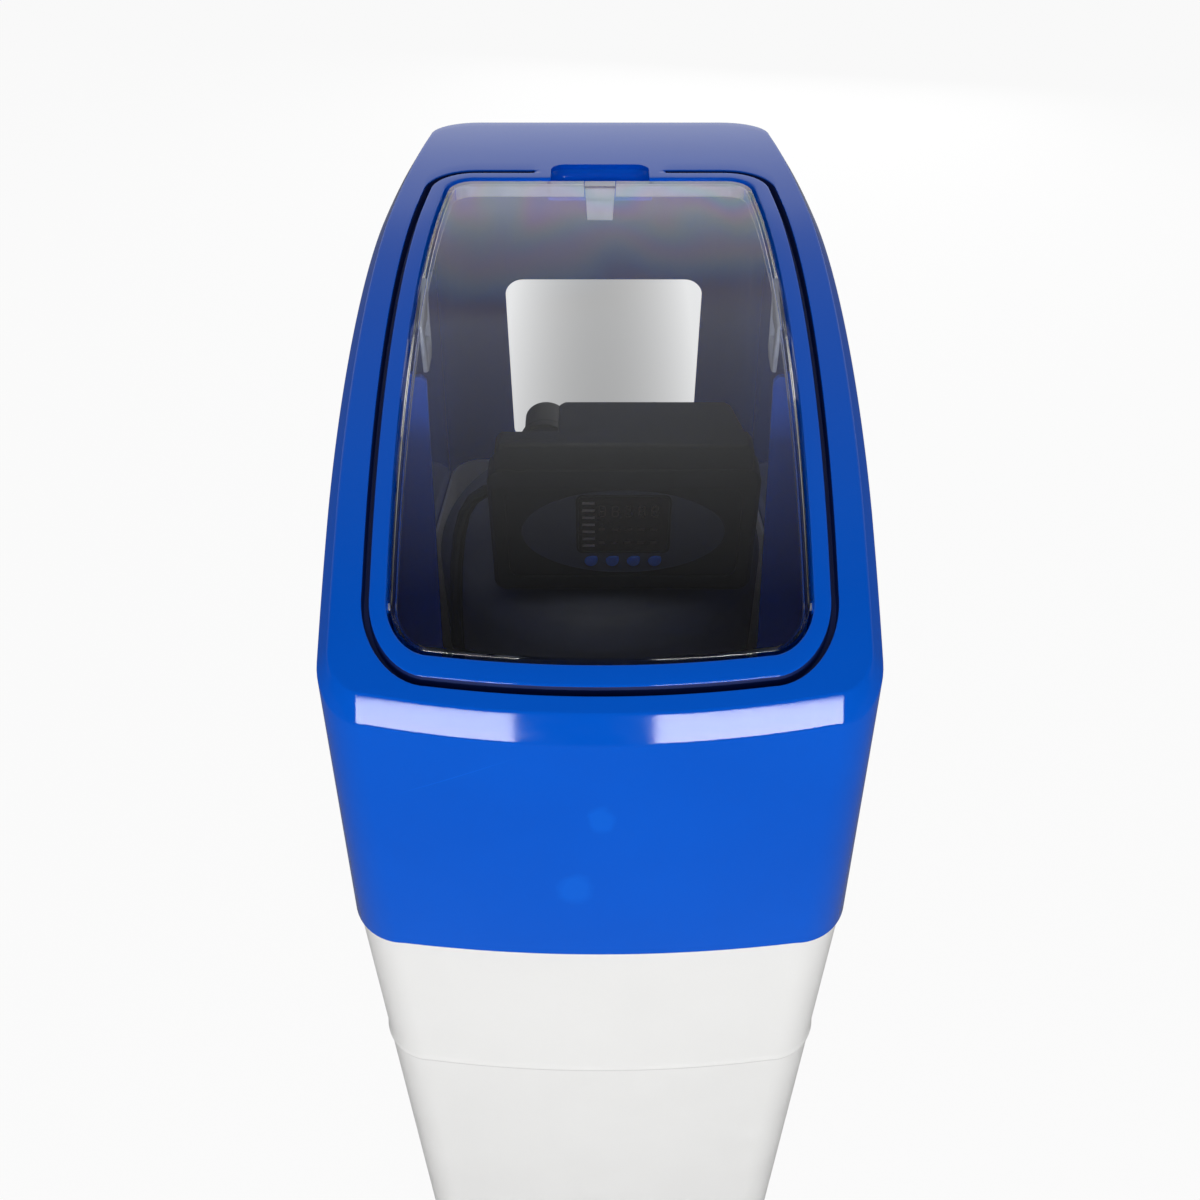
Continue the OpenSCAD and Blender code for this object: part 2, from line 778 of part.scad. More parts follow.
module valve_body() {
    color([0.13, 0.13, 0.14]) {
        // spindle and its bridge for the flow turbine
        along_y(port_x, port_z, turbine_y - 4, turbine_y + 9, spindle_r);
        box(port_x - port_r + 3, port_x + port_r - 3, turbine_y - 4, turbine_y - 2, port_z - 2, port_z + 2);
        difference() {
            union() {
                // disc chamber
                along_y(head_shift, axis_z, body_y0, body_y0 + chamber_l, disc_r + 7);
                // bracket that carries the gear housing
                box(head_shift - 26, head_shift + 40, head_y + gear_box_d, body_y0 + 6, axis_z - 44,
                    axis_z - 20);
                // block over the tank neck
                round_box(-block_x, block_x, tank_y - 42, block_y1, neck_top + flange_h - 1,
                    block_low_top, 12);
                round_box(gear_box_x0 + 2, block_x, tank_y - 42, block_y1, block_low_top - 9, block_top, 12);
                translate([0, tank_y, neck_top])
                    cylinder(r = 50, h = flange_h);
                translate([0, tank_y, neck_top - 18])
                    cylinder(r = neck_bore - 0.2, h = 20);
                for (s = [-1, 1]) {
                    along_y(s * port_x, port_z, stub_y0, port_end, port_r);
                    along_y(s * port_x, port_z, stub_y0, port_end - stub_l, port_r + stub_step);
                }
            }
            // disc chamber bore and shaft bore
            along_y(head_shift, axis_z, disc_y - slip, disc_y + 2 * disc_t + 0.1, disc_r + slip);
            along_y(head_shift, axis_z, body_y0 - 30, disc_y, shaft_r + fit);
            // riser bore
            translate([0, tank_y, neck_top - 19])
                cylinder(r = riser_r + 0.3, h = 35);
            // water ways
            for (s = [-1, 1]) {
                along_y(s * port_x, port_z, tank_y, block_y1, 6);
                along_y(s * port_x, port_z, stub_y0 + port_wall, port_end + 1, port_r - port_wall);
            }
        }
    }
}

module neck_ring() {
    color([0.05, 0.05, 0.05])
        translate([0, tank_y, neck_top - 2.6])
            rotate_extrude()
                translate([(neck_bore + neck_r - 3) / 2, 0])
                    circle(r = 2.3);
}

module injector_cover() {
    color([0.16, 0.16, 0.17])
        translate([-block_x - 0.05, injector_y, injector_z])
            rotate([0, -90, 0])
                difference() {
                    cylinder(r = 12, h = injector_t);
                    for (s = [-1, 1])
                        translate([0, s * 8.5, -1])
                            cylinder(r = 1.9, h = 9);
                }
}

module injector_screws() {
    color("Silver")
        for (s = [-1, 1])
            translate([-block_x - 0.1 - injector_t, injector_y + s * 8.5, injector_z])
                rotate([0, -90, 0]) {
                    cylinder(r = 3, h = 2);
                    translate([0, 0, 0.05 - injector_t])
                        cylinder(r = 1.6, h = injector_t);
                }
}

// Paddle wheel in the outlet stub that counts the water
module flow_turbine() {
    color("White")
        difference() {
            union() {
                along_y(port_x, port_z, turbine_y, turbine_y + 10, 3.5);
                for (a = [0:60:300])
                    translate([port_x, turbine_y, port_z])
                        rotate([0, a, 0])
                            box(0, turbine_r, 1, 9, -0.6, 0.6);
            }
            along_y(port_x, port_z, turbine_y - 1, turbine_y + 11, spindle_r + fit);
        }
}

// Rubber rings against the steel collars on the inlet and outlet stubs
module pipe_seals() {
    color([0.05, 0.05, 0.05])
        for (s = [-1, 1])
            translate([s * port_x, seal_y, port_z])
                rotate([-90, 0, 0])
                    rotate_extrude()
                        translate([port_r + stub_step + seal_r + 0.1, 0])
                            circle(r = seal_r);
}

module pipe_collars() {
    color("Silver")
        for (s = [-1, 1])
            difference() {
                along_y(s * port_x, port_z, collar_y, collar_y + collar_t, port_r + stub_step + collar_wall);
                along_y(s * port_x, port_z, collar_y - 1, collar_y + collar_t + 1, port_r + stub_step + 0.2);
            }
}

module drain_fitting() {
    color([0.2, 0.2, 0.21])
        difference() {
            union() {
                along_y(0, drain_z, block_y1 + 0.05, port_end - drain_l, hose_r + 3);
                along_y(0, drain_z, port_end - drain_l, port_end, hose_r);
            }
            along_y(0, drain_z, block_y1 - 1, port_end + 1, 4.5);
        }
}

module brine_fitting() {
    color([0.2, 0.2, 0.21])
        difference() {
            union() {
                along_x(brine_port_y, brine_port_z, -block_x - 12, -block_x - 0.05, 8);
                along_x(brine_port_y, brine_port_z, -block_x - 22, -block_x - 12, 9);
            }
            along_x(brine_port_y, brine_port_z, -block_x - 23, -block_x + 1, tube_r + 0.1);
        }
}

function unit(v) = v / norm(v);
function heading(p, k) = unit(p[min(k + 1, len(p) - 1)] - p[max(k - 1, 0)]);
function across(v) = unit(cross(v, abs(v[1]) < 0.9 ? [0, 1, 0] : [1, 0, 0]));

module swept_tube(p, r, sides) {
    polyhedron(
        points = [for (k = [0:len(p) - 1]) let (v = heading(p, k), a = across(v), b = cross(v, a))
            for (j = [0:sides - 1])
                p[k] + r * cos(360 * j / sides) * a + r * sin(360 * j / sides) * b],
        faces = concat(
            [[for (j = [sides - 1:-1:0]) j]],
            [for (k = [0:len(p) - 2], j = [0:sides - 1]) let (n = (j + 1) % sides)
                [k * sides + j, k * sides + n, (k + 1) * sides + n, (k + 1) * sides + j]],
            [[for (j = [0:sides - 1]) (len(p) - 1) * sides + j]]));
}

module brine_tube() {
    color([0.15, 0.15, 0.16])
        swept_tube(tube_route, tube_r - 0.05, 10);
}

module power_socket() {
    y1 = head_y + gear_box_d;
    color([0.08, 0.08, 0.08])
        difference() {
            union() {
                along_y(socket_x, socket_z, y1 - 13, y1 + 1, 4.5);
                along_y(socket_x, socket_z, y1 + 0.05, y1 + 2, 6.5);
            }
            along_y(socket_x, socket_z, y1 - 10, y1 + 3, jack_r);
        }
}

// ---- resin tank ----

function tank_half(inset) = let (r = tank_r - inset, z0 = tank_z0 + inset, b = 46)
    concat(
        [[0, z0 + 1], [60, z0 + 1]],
        [for (a = [-60:15:0]) [60 + (r - 60) * cos(a), z0 + b + (b - 1) * sin(a)]],
        [for (a = [0:15:75]) [neck_r + (r - neck_r) * cos(a), shoulder_z - inset + 40 * sin(a)]]);

module resin_tank() {
    color("Gainsboro")
        rotate_tank()
            difference() {
                union() {
                    rotate_extrude($fn = 96)
                        polygon(concat(tank_half(0), [[neck_r, shoulder_z + 42], [neck_r, neck_top - 0.05],
                            [0, neck_top - 0.05]]));
                }
                rotate_extrude($fn = 96)
                    polygon(concat(tank_half(tank_wall), [[neck_bore, shoulder_z + 38 - tank_wall],
                        [neck_bore, neck_top - 5], [neck_r - 3, neck_top - 5],
                        [neck_r - 3, neck_top + 1], [0, neck_top + 1]]));
            }
}

module rotate_tank() {
    translate([0, tank_y, 0])
        children();
}

module tank_boot() {
    color([0.12, 0.12, 0.12])
        rotate_tank()
            difference() {
                translate([0, 0, floor_t])
                    cylinder(r = tank_r - 8, h = 24);
                rotate_extrude($fn = 96)
                    polygon(concat(tank_half(-0.05), [[0, shoulder_z + 40]]));
            }
}

module riser_tube() {
    color("White")
        rotate_tank()
            difference() {
                translate([0, 0, tank_z0 + 70])
                    cylinder(r = riser_r, h = neck_top + 12 - tank_z0 - 70);
                translate([0, 0, tank_z0 + 69])
                    cylinder(r = riser_r - 2.2, h = neck_top);
            }
}

module top_basket() {
    color("White")
        rotate_tank()
            difference() {
                translate([0, 0, neck_top - 48])
                    cylinder(r1 = 24, r2 = 28, h = 29.9);
                translate([0, 0, neck_top - 50])
                    cylinder(r = riser_r + 0.2, h = 40);
                for (k = [0:4])
                    translate([0, 0, neck_top - 44 + 5 * k])
                        difference() {
                            cylinder(r = 40, h = 2);
                            cylinder(r = 21, h = 2);
                        }
            }
}

module bottom_basket() {
    color("White")
        rotate_tank()
            difference() {
                union() {
                    translate([0, 0, tank_z0 + tank_wall + 1.2])
                        cylinder(r1 = 34, r2 = 28, h = 50);
                    translate([0, 0, tank_z0 + tank_wall + 51])
                        cylinder(r = riser_r + 4, h = 34);
                }
                translate([0, 0, tank_z0 + 69.95])
                    cylinder(r = riser_r + 0.05, h = 40);
                for (k = [0:6])
                    translate([0, 0, tank_z0 + tank_wall + 8 + 6 * k])
                        difference() {
                            cylinder(r = 60, h = 2);
                            cylinder(r = 24, h = 2);
                        }
            }
}

module resin_bed() {
    color("Goldenrod")
        rotate_tank()
            difference() {
                translate([0, 0, tank_z0 + 92])
                    cylinder(r = tank_r - tank_wall - 0.3, h = 520, $fn = 96);
                translate([0, 0, tank_z0 + 90])
                    cylinder(r = riser_r + 0.3, h = 540);
            }
}

// ---- brine well and safety valve ----

module at_well() {
    translate([well_x, well_y, 0])
        children();
}

module brine_well() {
    color("WhiteSmoke")
        at_well()
            difference() {
                translate([0, 0, floor_t])
                    cylinder(r = well_r, h = well_h);
                translate([0, 0, floor_t + 3])
                    cylinder(r = well_r - well_wall, h = well_h);
                // slots that let the brine in
                for (k = [0:5], a = [0, 60, 120])
                    rotate([0, 0, a])
                        box(-well_r - 1, well_r + 1, -1.5, 1.5, floor_t + 20 + 16 * k, floor_t + 28 + 16 * k);
            }
}

module brine_well_cap() {
    z = floor_t + well_h;
    color("WhiteSmoke")
        at_well()
            difference() {
                union() {
                    translate([0, 0, z])
                        cylinder(r = well_r + 2, h = 3);
                    translate([0, 0, z - 10])
                        cylinder(r = well_r - well_wall - 0.3, h = 10);
                }
                translate([0, 0, z - 11])
                    cylinder(r = well_r - well_wall - 2.5, h = 11);
                translate([0, well_tube, z - 12])
                    cylinder(r = tube_r + 0.8, h = 20);
            }
}

// Body of the safety valve, hung in the well from its bracket
module safety_valve() {
    z = valve_foot_z;
    color("White")
        at_well()
            difference() {
                union() {
                    translate([0, 0, z])
                        cylinder(r = 24, h = 5);
                    translate([0, 0, z + 5])
                        cylinder(r = 15, h = 50);
                    translate([0, 0, z + 55])
                        cylinder(r = 12, h = 10);
                    along_y(0, z + 24, 10, well_tube + 5, 4.9);
                }
                translate([0, 0, z + 20])
                    cylinder(r = rod_r + slip, h = 60);
            }
}

module float_rod() {
    z = valve_foot_z;
    color("White")
        at_well() {
            translate([0, 0, z + 22])
                cylinder(r = rod_r, h = rod_l);
            translate([0, 0, z + float_z + float_h])
                cylinder(r = 5, h = 4);
        }
}

module safety_float() {
    z = valve_foot_z;
    color("White")
        at_well()
            difference() {
                translate([0, 0, z + float_z])
                    cylinder(r = float_r, h = float_h - 0.1);
                translate([0, 0, z + float_z - 1])
                    cylinder(r = rod_r + 0.05, h = float_h + 10);
            }
}

// ---- overflow ----

module overflow_elbow() {
    y = body_d / 2 - rim_step;
    color([0.2, 0.2, 0.21])
        difference() {
            union() {
                along_y(overflow_x, overflow_z, y - 16, y + 3, overflow_r);
                along_y(overflow_x, overflow_z, y + 2.1, y + 5, flange_r);
                along_y(overflow_x, overflow_z, y + 5, y + 22, hose_r + 1);
                translate([overflow_x, y + 20, overflow_z])
                    sphere(r = hose_r + 1.5);
                translate([overflow_x, y + 20, overflow_z - 12])
                    cylinder(r = hose_r + 1, h = 12);
                translate([overflow_x, y + 20, overflow_z - 12 - hose_l])
                    cylinder(r = hose_r, h = hose_l + 1);
            }
            along_y(overflow_x, overflow_z, y - 17, y + 20, hose_bore);
            translate([overflow_x, y + 20, overflow_z - 13 - hose_l])
                cylinder(r = hose_bore, h = hose_l + 13);
        }
}

module overflow_nut() {
    y = body_d / 2 - rim_step - cabinet_wall;
    color([0.2, 0.2, 0.21])
        difference() {
            translate([overflow_x, y - 0.1, overflow_z])
                rotate([90, 0, 0])
                    cylinder(r = flange_r, h = 7, $fn = 6);
            along_y(overflow_x, overflow_z, y - 9, y + 1, overflow_r + 0.05);
        }
}

module overflow_gasket() {
    y = body_d / 2 - rim_step;
    color([0.05, 0.05, 0.05])
        difference() {
            along_y(overflow_x, overflow_z, y + 0.05, y + 2.05, flange_r - 1);
            along_y(overflow_x, overflow_z, y - 1, y + 4, overflow_r + 0.1);
        }
}

cabinet();
hood();
hood_screws();
lid();
lid_pivot_pins();
lid_pivot_sockets();
lid_latch();
valve_cover();
valve_gear_housing();
front_panel();
display_window();
key_1();
key_2();
key_3();
key_4();
circuit_board();
cover_screws();
motor();
motor_pinion();
drive_gear();
moving_disc();
fixed_disc();
valve_body();
neck_ring();
injector_cover();
injector_screws();
flow_turbine();
pipe_seals();
pipe_collars();
drain_fitting();
brine_fitting();
brine_tube();
power_socket();
resin_tank();
tank_boot();
riser_tube();
top_basket();
bottom_basket();
resin_bed();
brine_well();
brine_well_cap();
safety_valve();
float_rod();
safety_float();
overflow_elbow();
overflow_nut();
overflow_gasket();
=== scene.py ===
# %% [markdown]
# # A cabinet water softener
# A white moulded cabinet holds a resin tank and the salt. A gloss blue hood sits on it, with a clear lid over
# a black control valve. The frame below is the engineering model: it fixes every size and place. This
# notebook adds the finish, piece by piece, and never moves or resizes anything.

# %% Load the frame
import math

import bmesh
import bpy
import numpy as np
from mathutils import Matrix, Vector


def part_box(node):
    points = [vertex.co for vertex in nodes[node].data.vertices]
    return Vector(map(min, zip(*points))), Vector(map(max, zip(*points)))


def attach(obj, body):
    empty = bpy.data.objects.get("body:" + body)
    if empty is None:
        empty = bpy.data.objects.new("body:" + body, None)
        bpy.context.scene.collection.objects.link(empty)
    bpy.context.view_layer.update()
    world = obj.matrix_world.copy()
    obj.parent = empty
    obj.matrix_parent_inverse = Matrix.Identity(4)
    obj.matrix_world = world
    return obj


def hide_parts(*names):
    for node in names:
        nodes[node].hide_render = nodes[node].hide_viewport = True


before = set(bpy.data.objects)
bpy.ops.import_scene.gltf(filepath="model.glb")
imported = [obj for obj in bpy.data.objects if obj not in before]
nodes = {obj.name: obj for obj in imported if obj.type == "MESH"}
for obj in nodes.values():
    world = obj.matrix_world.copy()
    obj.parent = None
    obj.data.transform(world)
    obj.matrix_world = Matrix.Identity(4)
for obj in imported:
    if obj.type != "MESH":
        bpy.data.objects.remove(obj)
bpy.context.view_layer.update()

# %% [markdown]
# ## Small helpers
# Three things repeat all through: turning a hex colour into the linear values a shader wants, adding a node
# with its settings and links, and turning lists of points into a mesh. Each gets one short function.

# %% Colour and node helpers
def linear(hex_colour):
    """An sRGB hex colour as linear red, green, blue and alpha."""
    parts = [int(hex_colour[k:k + 2], 16) / 255 for k in (1, 3, 5)]
    return tuple(c / 12.92 if c <= 0.04045 else ((c + 0.055) / 1.055) ** 2.4 for c in parts) + (1.0,)


def add(tree, kind, settings=None, inputs=None):
    """Adds a node. An input is a number, a colour, or an output socket to link from."""
    node = tree.nodes.new(kind)
    for name, value in (settings or {}).items():
        setattr(node, name, value)
    for name, value in (inputs or {}).items():
        socket = node.inputs[name]
        if isinstance(value, bpy.types.NodeSocket):
            tree.links.new(value, socket)
        else:
            socket.default_value = value
    return node


def new_material(name):
    """An empty node material, its tree, its surface socket and the place of each point in metres."""
    material = bpy.data.materials.new(name)
    material.use_nodes = True
    tree = material.node_tree
    tree.nodes.clear()
    output = add(tree, "ShaderNodeOutputMaterial")
    place = add(tree, "ShaderNodeTexCoord").outputs["Object"]
    return material, tree, output, place


def noise(tree, place, size_mm, detail=3.0, roughness=0.5):
    """Noise whose features are about size_mm across."""
    return add(tree, "ShaderNodeTexNoise", {}, {"Vector": place, "Scale": 1000 / size_mm,
                                                "Detail": detail, "Roughness": roughness})


def spread(tree, value, low, high, out_low, out_high):
    """Maps value from low..high onto out_low..out_high, clamped."""
    return add(tree, "ShaderNodeMapRange", {}, {"Value": value, "From Min": low, "From Max": high,
                                                "To Min": out_low, "To Max": out_high}).outputs["Result"]


# %% Mesh helpers
MM = 0.001


def make_mesh(name, points_mm, faces, sharp_degrees=32):
    """A mesh object from points in millimetres, smooth except where faces meet at a sharp angle."""
    mesh = bpy.data.meshes.new(name)
    mesh.from_pydata([tuple(float(c) * MM for c in p) for p in points_mm], [], faces)
    mesh.validate()
    mesh.shade_smooth()
    mesh.set_sharp_from_angle(angle=math.radians(sharp_degrees))
    piece = bpy.data.objects.new(name, mesh)
    bpy.context.scene.collection.objects.link(piece)
    return piece


def finish_piece(piece, body, material, slot, *replaced):
    """Gives a piece its material, its body and the engineering pieces it stands for."""
    piece.data.materials.clear()
    piece.data.materials.append(material)
    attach(piece, body)
    if replaced:
        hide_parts(*replaced)
    return piece


def band_faces(count, loops, closed_stack):
    """Quads between neighbouring loops that each have count points."""
    faces = []
    last = loops if closed_stack else loops - 1
    for k in range(last):
        a, b = k * count, (k + 1) % loops * count
        for j in range(count):
            n = (j + 1) % count
            faces.append((a + j, a + n, b + n, b + j))
    return faces


def rounded_stack(loops, radii, steps=4, closed=False):
    """Replaces each loop that has a radius by a few loops that round its edge."""
    made = []
    total = len(loops)
    for k, (loop, radius) in enumerate(zip(loops, radii)):
        if radius == 0 or (not closed and k in (0, total - 1)):
            made.append(loop)
            continue
        before, after = loops[k - 1], loops[(k + 1) % total]
        reach = []
        for other in (before, after):
            gap = np.linalg.norm(other - loop, axis=1)
            reach.append(np.minimum(radius / np.maximum(gap, 1e-6), 0.45)[:, None])
        start = loop + (before - loop) * reach[0]
        end = loop + (after - loop) * reach[1]
        for s in range(steps + 1):
            t = s / steps
            made.append((1 - t) ** 2 * start + 2 * t * (1 - t) * loop + t * t * end)
    return made


def strip_cap(base, count, flip):
    """Closes a loop that is mirrored left to right with strips that run straight across."""
    faces = []
    half = count // 2
    for j in range(half):
        right, right_next = base + j, base + j + 1
        left, left_next = base + (count - j) % count, base + count - j - 1
        corners = [right, right_next, left_next, left]
        corners = [c for k, c in enumerate(corners) if c not in corners[:k]]
        if len(corners) >= 3:
            faces.append(tuple(reversed(corners)) if flip else tuple(corners))
    return faces


def stack_mesh(name, loops, closed=False, caps=None, sharp_degrees=32):
    """A mesh skinned over loops. caps is None, "strips" or "flat"."""
    count = len(loops[0])
    faces = band_faces(count, len(loops), closed)
    end = (len(loops) - 1) * count
    if caps == "strips":
        faces += strip_cap(0, count, True) + strip_cap(end, count, False)
    if caps == "flat":
        faces += [tuple(reversed(range(count))), tuple(range(end, end + count))]
    piece = make_mesh(name, np.concatenate(loops), faces, sharp_degrees)
    face_outwards(piece)
    return piece


def face_outwards(piece):
    """Turns all normals outwards."""
    work = bmesh.new()
    work.from_mesh(piece.data)
    bmesh.ops.recalc_face_normals(work, faces=work.faces)
    work.to_mesh(piece.data)
    work.free()


def cut(piece, *cutters):
    """Cuts the cutters out of the piece and deletes them."""
    for cutter in cutters:
        change = piece.modifiers.new("cut", "BOOLEAN")
        change.operation = "DIFFERENCE"
        change.solver = "EXACT"
        change.object = cutter
    bpy.context.view_layer.update()
    shape = bpy.data.meshes.new_from_object(piece.evaluated_get(bpy.context.evaluated_depsgraph_get()))
    piece.modifiers.clear()
    old = piece.data
    piece.data = shape
    bpy.data.meshes.remove(old)
    for cutter in cutters:
        bpy.data.objects.remove(cutter)
    return piece

# %% [markdown]
# ## The blue hood's plastic
# The hood is injection-moulded ABS with a mirror-like gloss. ABS reflects a little more than glass (IOR about
# 1.54). Moulded gloss is never quite flat: a faint waviness a few centimetres wide bends reflections, and
# handling leaves two rub marks and a hairline scratch on the front. So the colour barely varies, and most of
# the variation goes into roughness and bump.

# %% Gloss blue ABS
def spot(tree, place, centre, size, edge):
    """1 inside an oval at centre, both in metres, fading to 0 over the outer edge share."""
    shifted = add(tree, "ShaderNodeMapping", {"vector_type": "TEXTURE"},
                  {"Vector": place, "Location": centre, "Scale": size}).outputs[0]
    reach = add(tree, "ShaderNodeVectorMath", {"operation": "LENGTH"}, {0: shifted}).outputs["Value"]
    return spread(tree, reach, 1 - edge, 1.0, 1.0, 0.0)


def scratch(tree, place, start, end, width):
    """1 along a hairline between two points of a nearly flat face, in metres."""
    middle = [(a + b) / 2 for a, b in zip(start, end)]
    tilt = math.atan2(end[2] - start[2], end[0] - start[0])
    length = math.dist(start, end) / 2
    line = add(tree, "ShaderNodeMapping", {"vector_type": "TEXTURE"},
               {"Vector": place, "Location": middle, "Rotation": (0, -tilt, 0),
                "Scale": (length, 0.03, width)})
    reach = add(tree, "ShaderNodeVectorMath", {"operation": "LENGTH"}, {0: line.outputs[0]}).outputs["Value"]
    return spread(tree, reach, 0.5, 1.0, 1.0, 0.0)


def gloss_blue_abs():
    material, tree, output, place = new_material("gloss_moulded_abs_blue")
    cloud = noise(tree, place, 90, 2)
    tint = add(tree, "ShaderNodeMix", {"data_type": "RGBA"},
               {"Factor": cloud.outputs["Fac"], "A": linear("#0056CC"), "B": linear("#005CD6")})
    wobble = noise(tree, place, 14, 3)
    rough_place = add(tree, "ShaderNodeMix", {"data_type": "VECTOR"},
                      {"Factor": 0.012, "A": place, "B": wobble.outputs["Color"]}).outputs["Result"]
    marks = add(tree, "ShaderNodeMath", {"operation": "MAXIMUM"}, {
        0: spot(tree, rough_place, (0.007, -0.245, 0.925), (0.008, 0.05, 0.013), 0.4),
        1: spot(tree, rough_place, (-0.008, -0.245, 0.860), (0.012, 0.05, 0.018), 0.4)})
    line = scratch(tree, place, (-0.118, -0.24, 0.942), (-0.040, -0.245, 0.984), 0.0005)
    marks = add(tree, "ShaderNodeMath", {"operation": "MAXIMUM"}, {0: marks.outputs[0], 1: line})
    wiped = add(tree, "ShaderNodeMix", {"data_type": "RGBA"},
                {"Factor": marks.outputs[0], "A": tint.outputs["Result"], "B": linear("#0462DB")})
    streaks = add(tree, "ShaderNodeMapping", {}, {"Vector": place, "Scale": (1, 6, 2)}).outputs[0]
    wipe = noise(tree, streaks, 14, 4)
    gloss = spread(tree, wipe.outputs["Fac"], 0.35, 0.75, 0.05, 0.09)
    wave = noise(tree, place, 40, 1)
    bump = add(tree, "ShaderNodeBump", {},
               {"Height": wave.outputs["Fac"], "Strength": 0.05, "Distance": 0.001})
    shader = add(tree, "ShaderNodeBsdfPrincipled", {}, {
        "Base Color": wiped.outputs["Result"], "Roughness": gloss, "IOR": 1.54, "Specular IOR Level": 0.24,
        "Normal": bump.outputs["Normal"]})
    tree.links.new(shader.outputs[0], output.inputs["Surface"])
    return material


blue_abs = gloss_blue_abs()

# %% [markdown]
# ## The cabinet's plastic
# The cabinet is blow-moulded polyethylene. It has a soft satin skin with a very fine orange-peel texture.
# Polyethylene is milky: light goes in a little and comes out soft, so a touch of subsurface scattering keeps
# the white from looking like paint. A fine grey line just under the bead is painted shade.

# %% Satin white polyethylene
# Height and half height, in metres, of the painted shade line just under the bead.
BEAD_SHADE_Z, BEAD_SHADE_HALF = 0.6264, 0.0014


def satin_white_polyethylene():
    material, tree, output, place = new_material("satin_moulded_polyethylene_white")
    cloud = noise(tree, place, 120, 2)
    tint = add(tree, "ShaderNodeMix", {"data_type": "RGBA"},
               {"Factor": cloud.outputs["Fac"], "A": linear("#EFEFEE"), "B": linear("#F4F4F3")})
    height = add(tree, "ShaderNodeSeparateXYZ", {}, {0: place}).outputs["Z"]
    # The band just under the bead is painted a darker grey as painted shade.
    below = add(tree, "ShaderNodeMath", {"operation": "COMPARE"}, {0: height, 1: BEAD_SHADE_Z, 2: BEAD_SHADE_HALF})
    shaded = add(tree, "ShaderNodeMix", {"data_type": "RGBA"}, {
        "Factor": below.outputs[0], "A": tint.outputs["Result"], "B": linear("#DCDCDB")})
    peel = noise(tree, place, 1.6, 3)
    bump = add(tree, "ShaderNodeBump", {},
               {"Height": peel.outputs["Fac"], "Strength": 0.06, "Distance": 0.0003})
    gloss = spread(tree, noise(tree, place, 25, 3).outputs["Fac"], 0.3, 0.7, 0.30, 0.42)
    shader = add(tree, "ShaderNodeBsdfPrincipled", {}, {
        "Base Color": shaded.outputs["Result"], "Roughness": gloss, "IOR": 1.51,
        "Subsurface Weight": 0.05, "Subsurface Radius": (0.004, 0.004, 0.004),
        "Normal": bump.outputs["Normal"]})
    tree.links.new(shader.outputs[0], output.inputs["Surface"])
    return material


white_polyethylene = satin_white_polyethylene()

# %% [markdown]
# ## The clear lid
# The lid is polycarbonate, the clear plastic of visors. Its IOR is high, 1.58, so it reflects more than
# window glass, most of all at a flat angle near the back. Moulding freezes stress into it, which shows as
# faint rainbow fans in a reflection. A thin film of varying thickness on the shader gives those colours.
# Light has to reach the valve below, so shadow rays pass straight through.

# %% Clear polycarbonate
def clear_polycarbonate():
    material, tree, output, place = new_material("clear_moulded_polycarbonate")
    fans = add(tree, "ShaderNodeMapping", {}, {"Vector": place, "Scale": (2.2, 1, 1)}).outputs[0]
    stress = noise(tree, fans, 150, 1.5)
    back = add(tree, "ShaderNodeSeparateXYZ", {}, {0: place}).outputs["Y"]
    thickness = spread(tree, stress.outputs["Fac"], 0.3, 0.7, 350, 1000)
    near_back = spread(tree, back, -0.04, 0.10, 0.0, 1.0)
    film = add(tree, "ShaderNodeMath", {"operation": "MULTIPLY"}, {0: thickness, 1: near_back})
    haze = spread(tree, noise(tree, place, 9, 4).outputs["Fac"], 0.55, 0.8, 0.0, 0.03)
    shader = add(tree, "ShaderNodeBsdfPrincipled", {}, {
        "Base Color": linear("#FAFBFC"), "Roughness": haze, "IOR": 1.58, "Transmission Weight": 1.0,
        "Specular IOR Level": 0.4, "Thin Film Thickness": film.outputs[0], "Thin Film IOR": 1.5})
    clear = add(tree, "ShaderNodeBsdfTransparent", {}, {"Color": linear("#E4E8EE")})
    ray = add(tree, "ShaderNodeLightPath")
    mix = add(tree, "ShaderNodeMixShader", {}, {0: ray.outputs["Is Shadow Ray"], 1: shader.outputs[0],
                                                2: clear.outputs[0]})
    tree.links.new(mix.outputs[0], output.inputs["Surface"])
    return material


clear_lid = clear_polycarbonate()


def frosted_polycarbonate():
    """The same plastic where the mould is etched, so that it scatters: latch, clips and pins."""
    material, tree, output, place = new_material("frosted_moulded_polycarbonate")
    grain = noise(tree, place, 0.8, 2)
    bump = add(tree, "ShaderNodeBump", {},
               {"Height": grain.outputs["Fac"], "Strength": 0.2, "Distance": 0.0003})
    milk = spread(tree, noise(tree, place, 12, 2).outputs["Fac"], 0.3, 0.7, 0.34, 0.46)
    shader = add(tree, "ShaderNodeBsdfPrincipled", {}, {
        "Base Color": linear("#D2D5E2"), "Roughness": 0.22, "IOR": 1.58, "Transmission Weight": milk,
        "Normal": bump.outputs["Normal"]})
    clear = add(tree, "ShaderNodeBsdfTransparent", {}, {"Color": linear("#C8CCD8")})
    ray = add(tree, "ShaderNodeLightPath")
    mix = add(tree, "ShaderNodeMixShader", {}, {0: ray.outputs["Is Shadow Ray"], 1: shader.outputs[0],
                                                2: clear.outputs[0]})
    tree.links.new(mix.outputs[0], output.inputs["Surface"])
    return material


frosted_lid = frosted_polycarbonate()

# %% [markdown]
# ## Plain plastics, rubber and metal
# The other finishes differ in colour, gloss and grain only, so one function makes them. Each gets a base
# colour with slow variation, a roughness that wanders, and a bump at the size of its real texture.

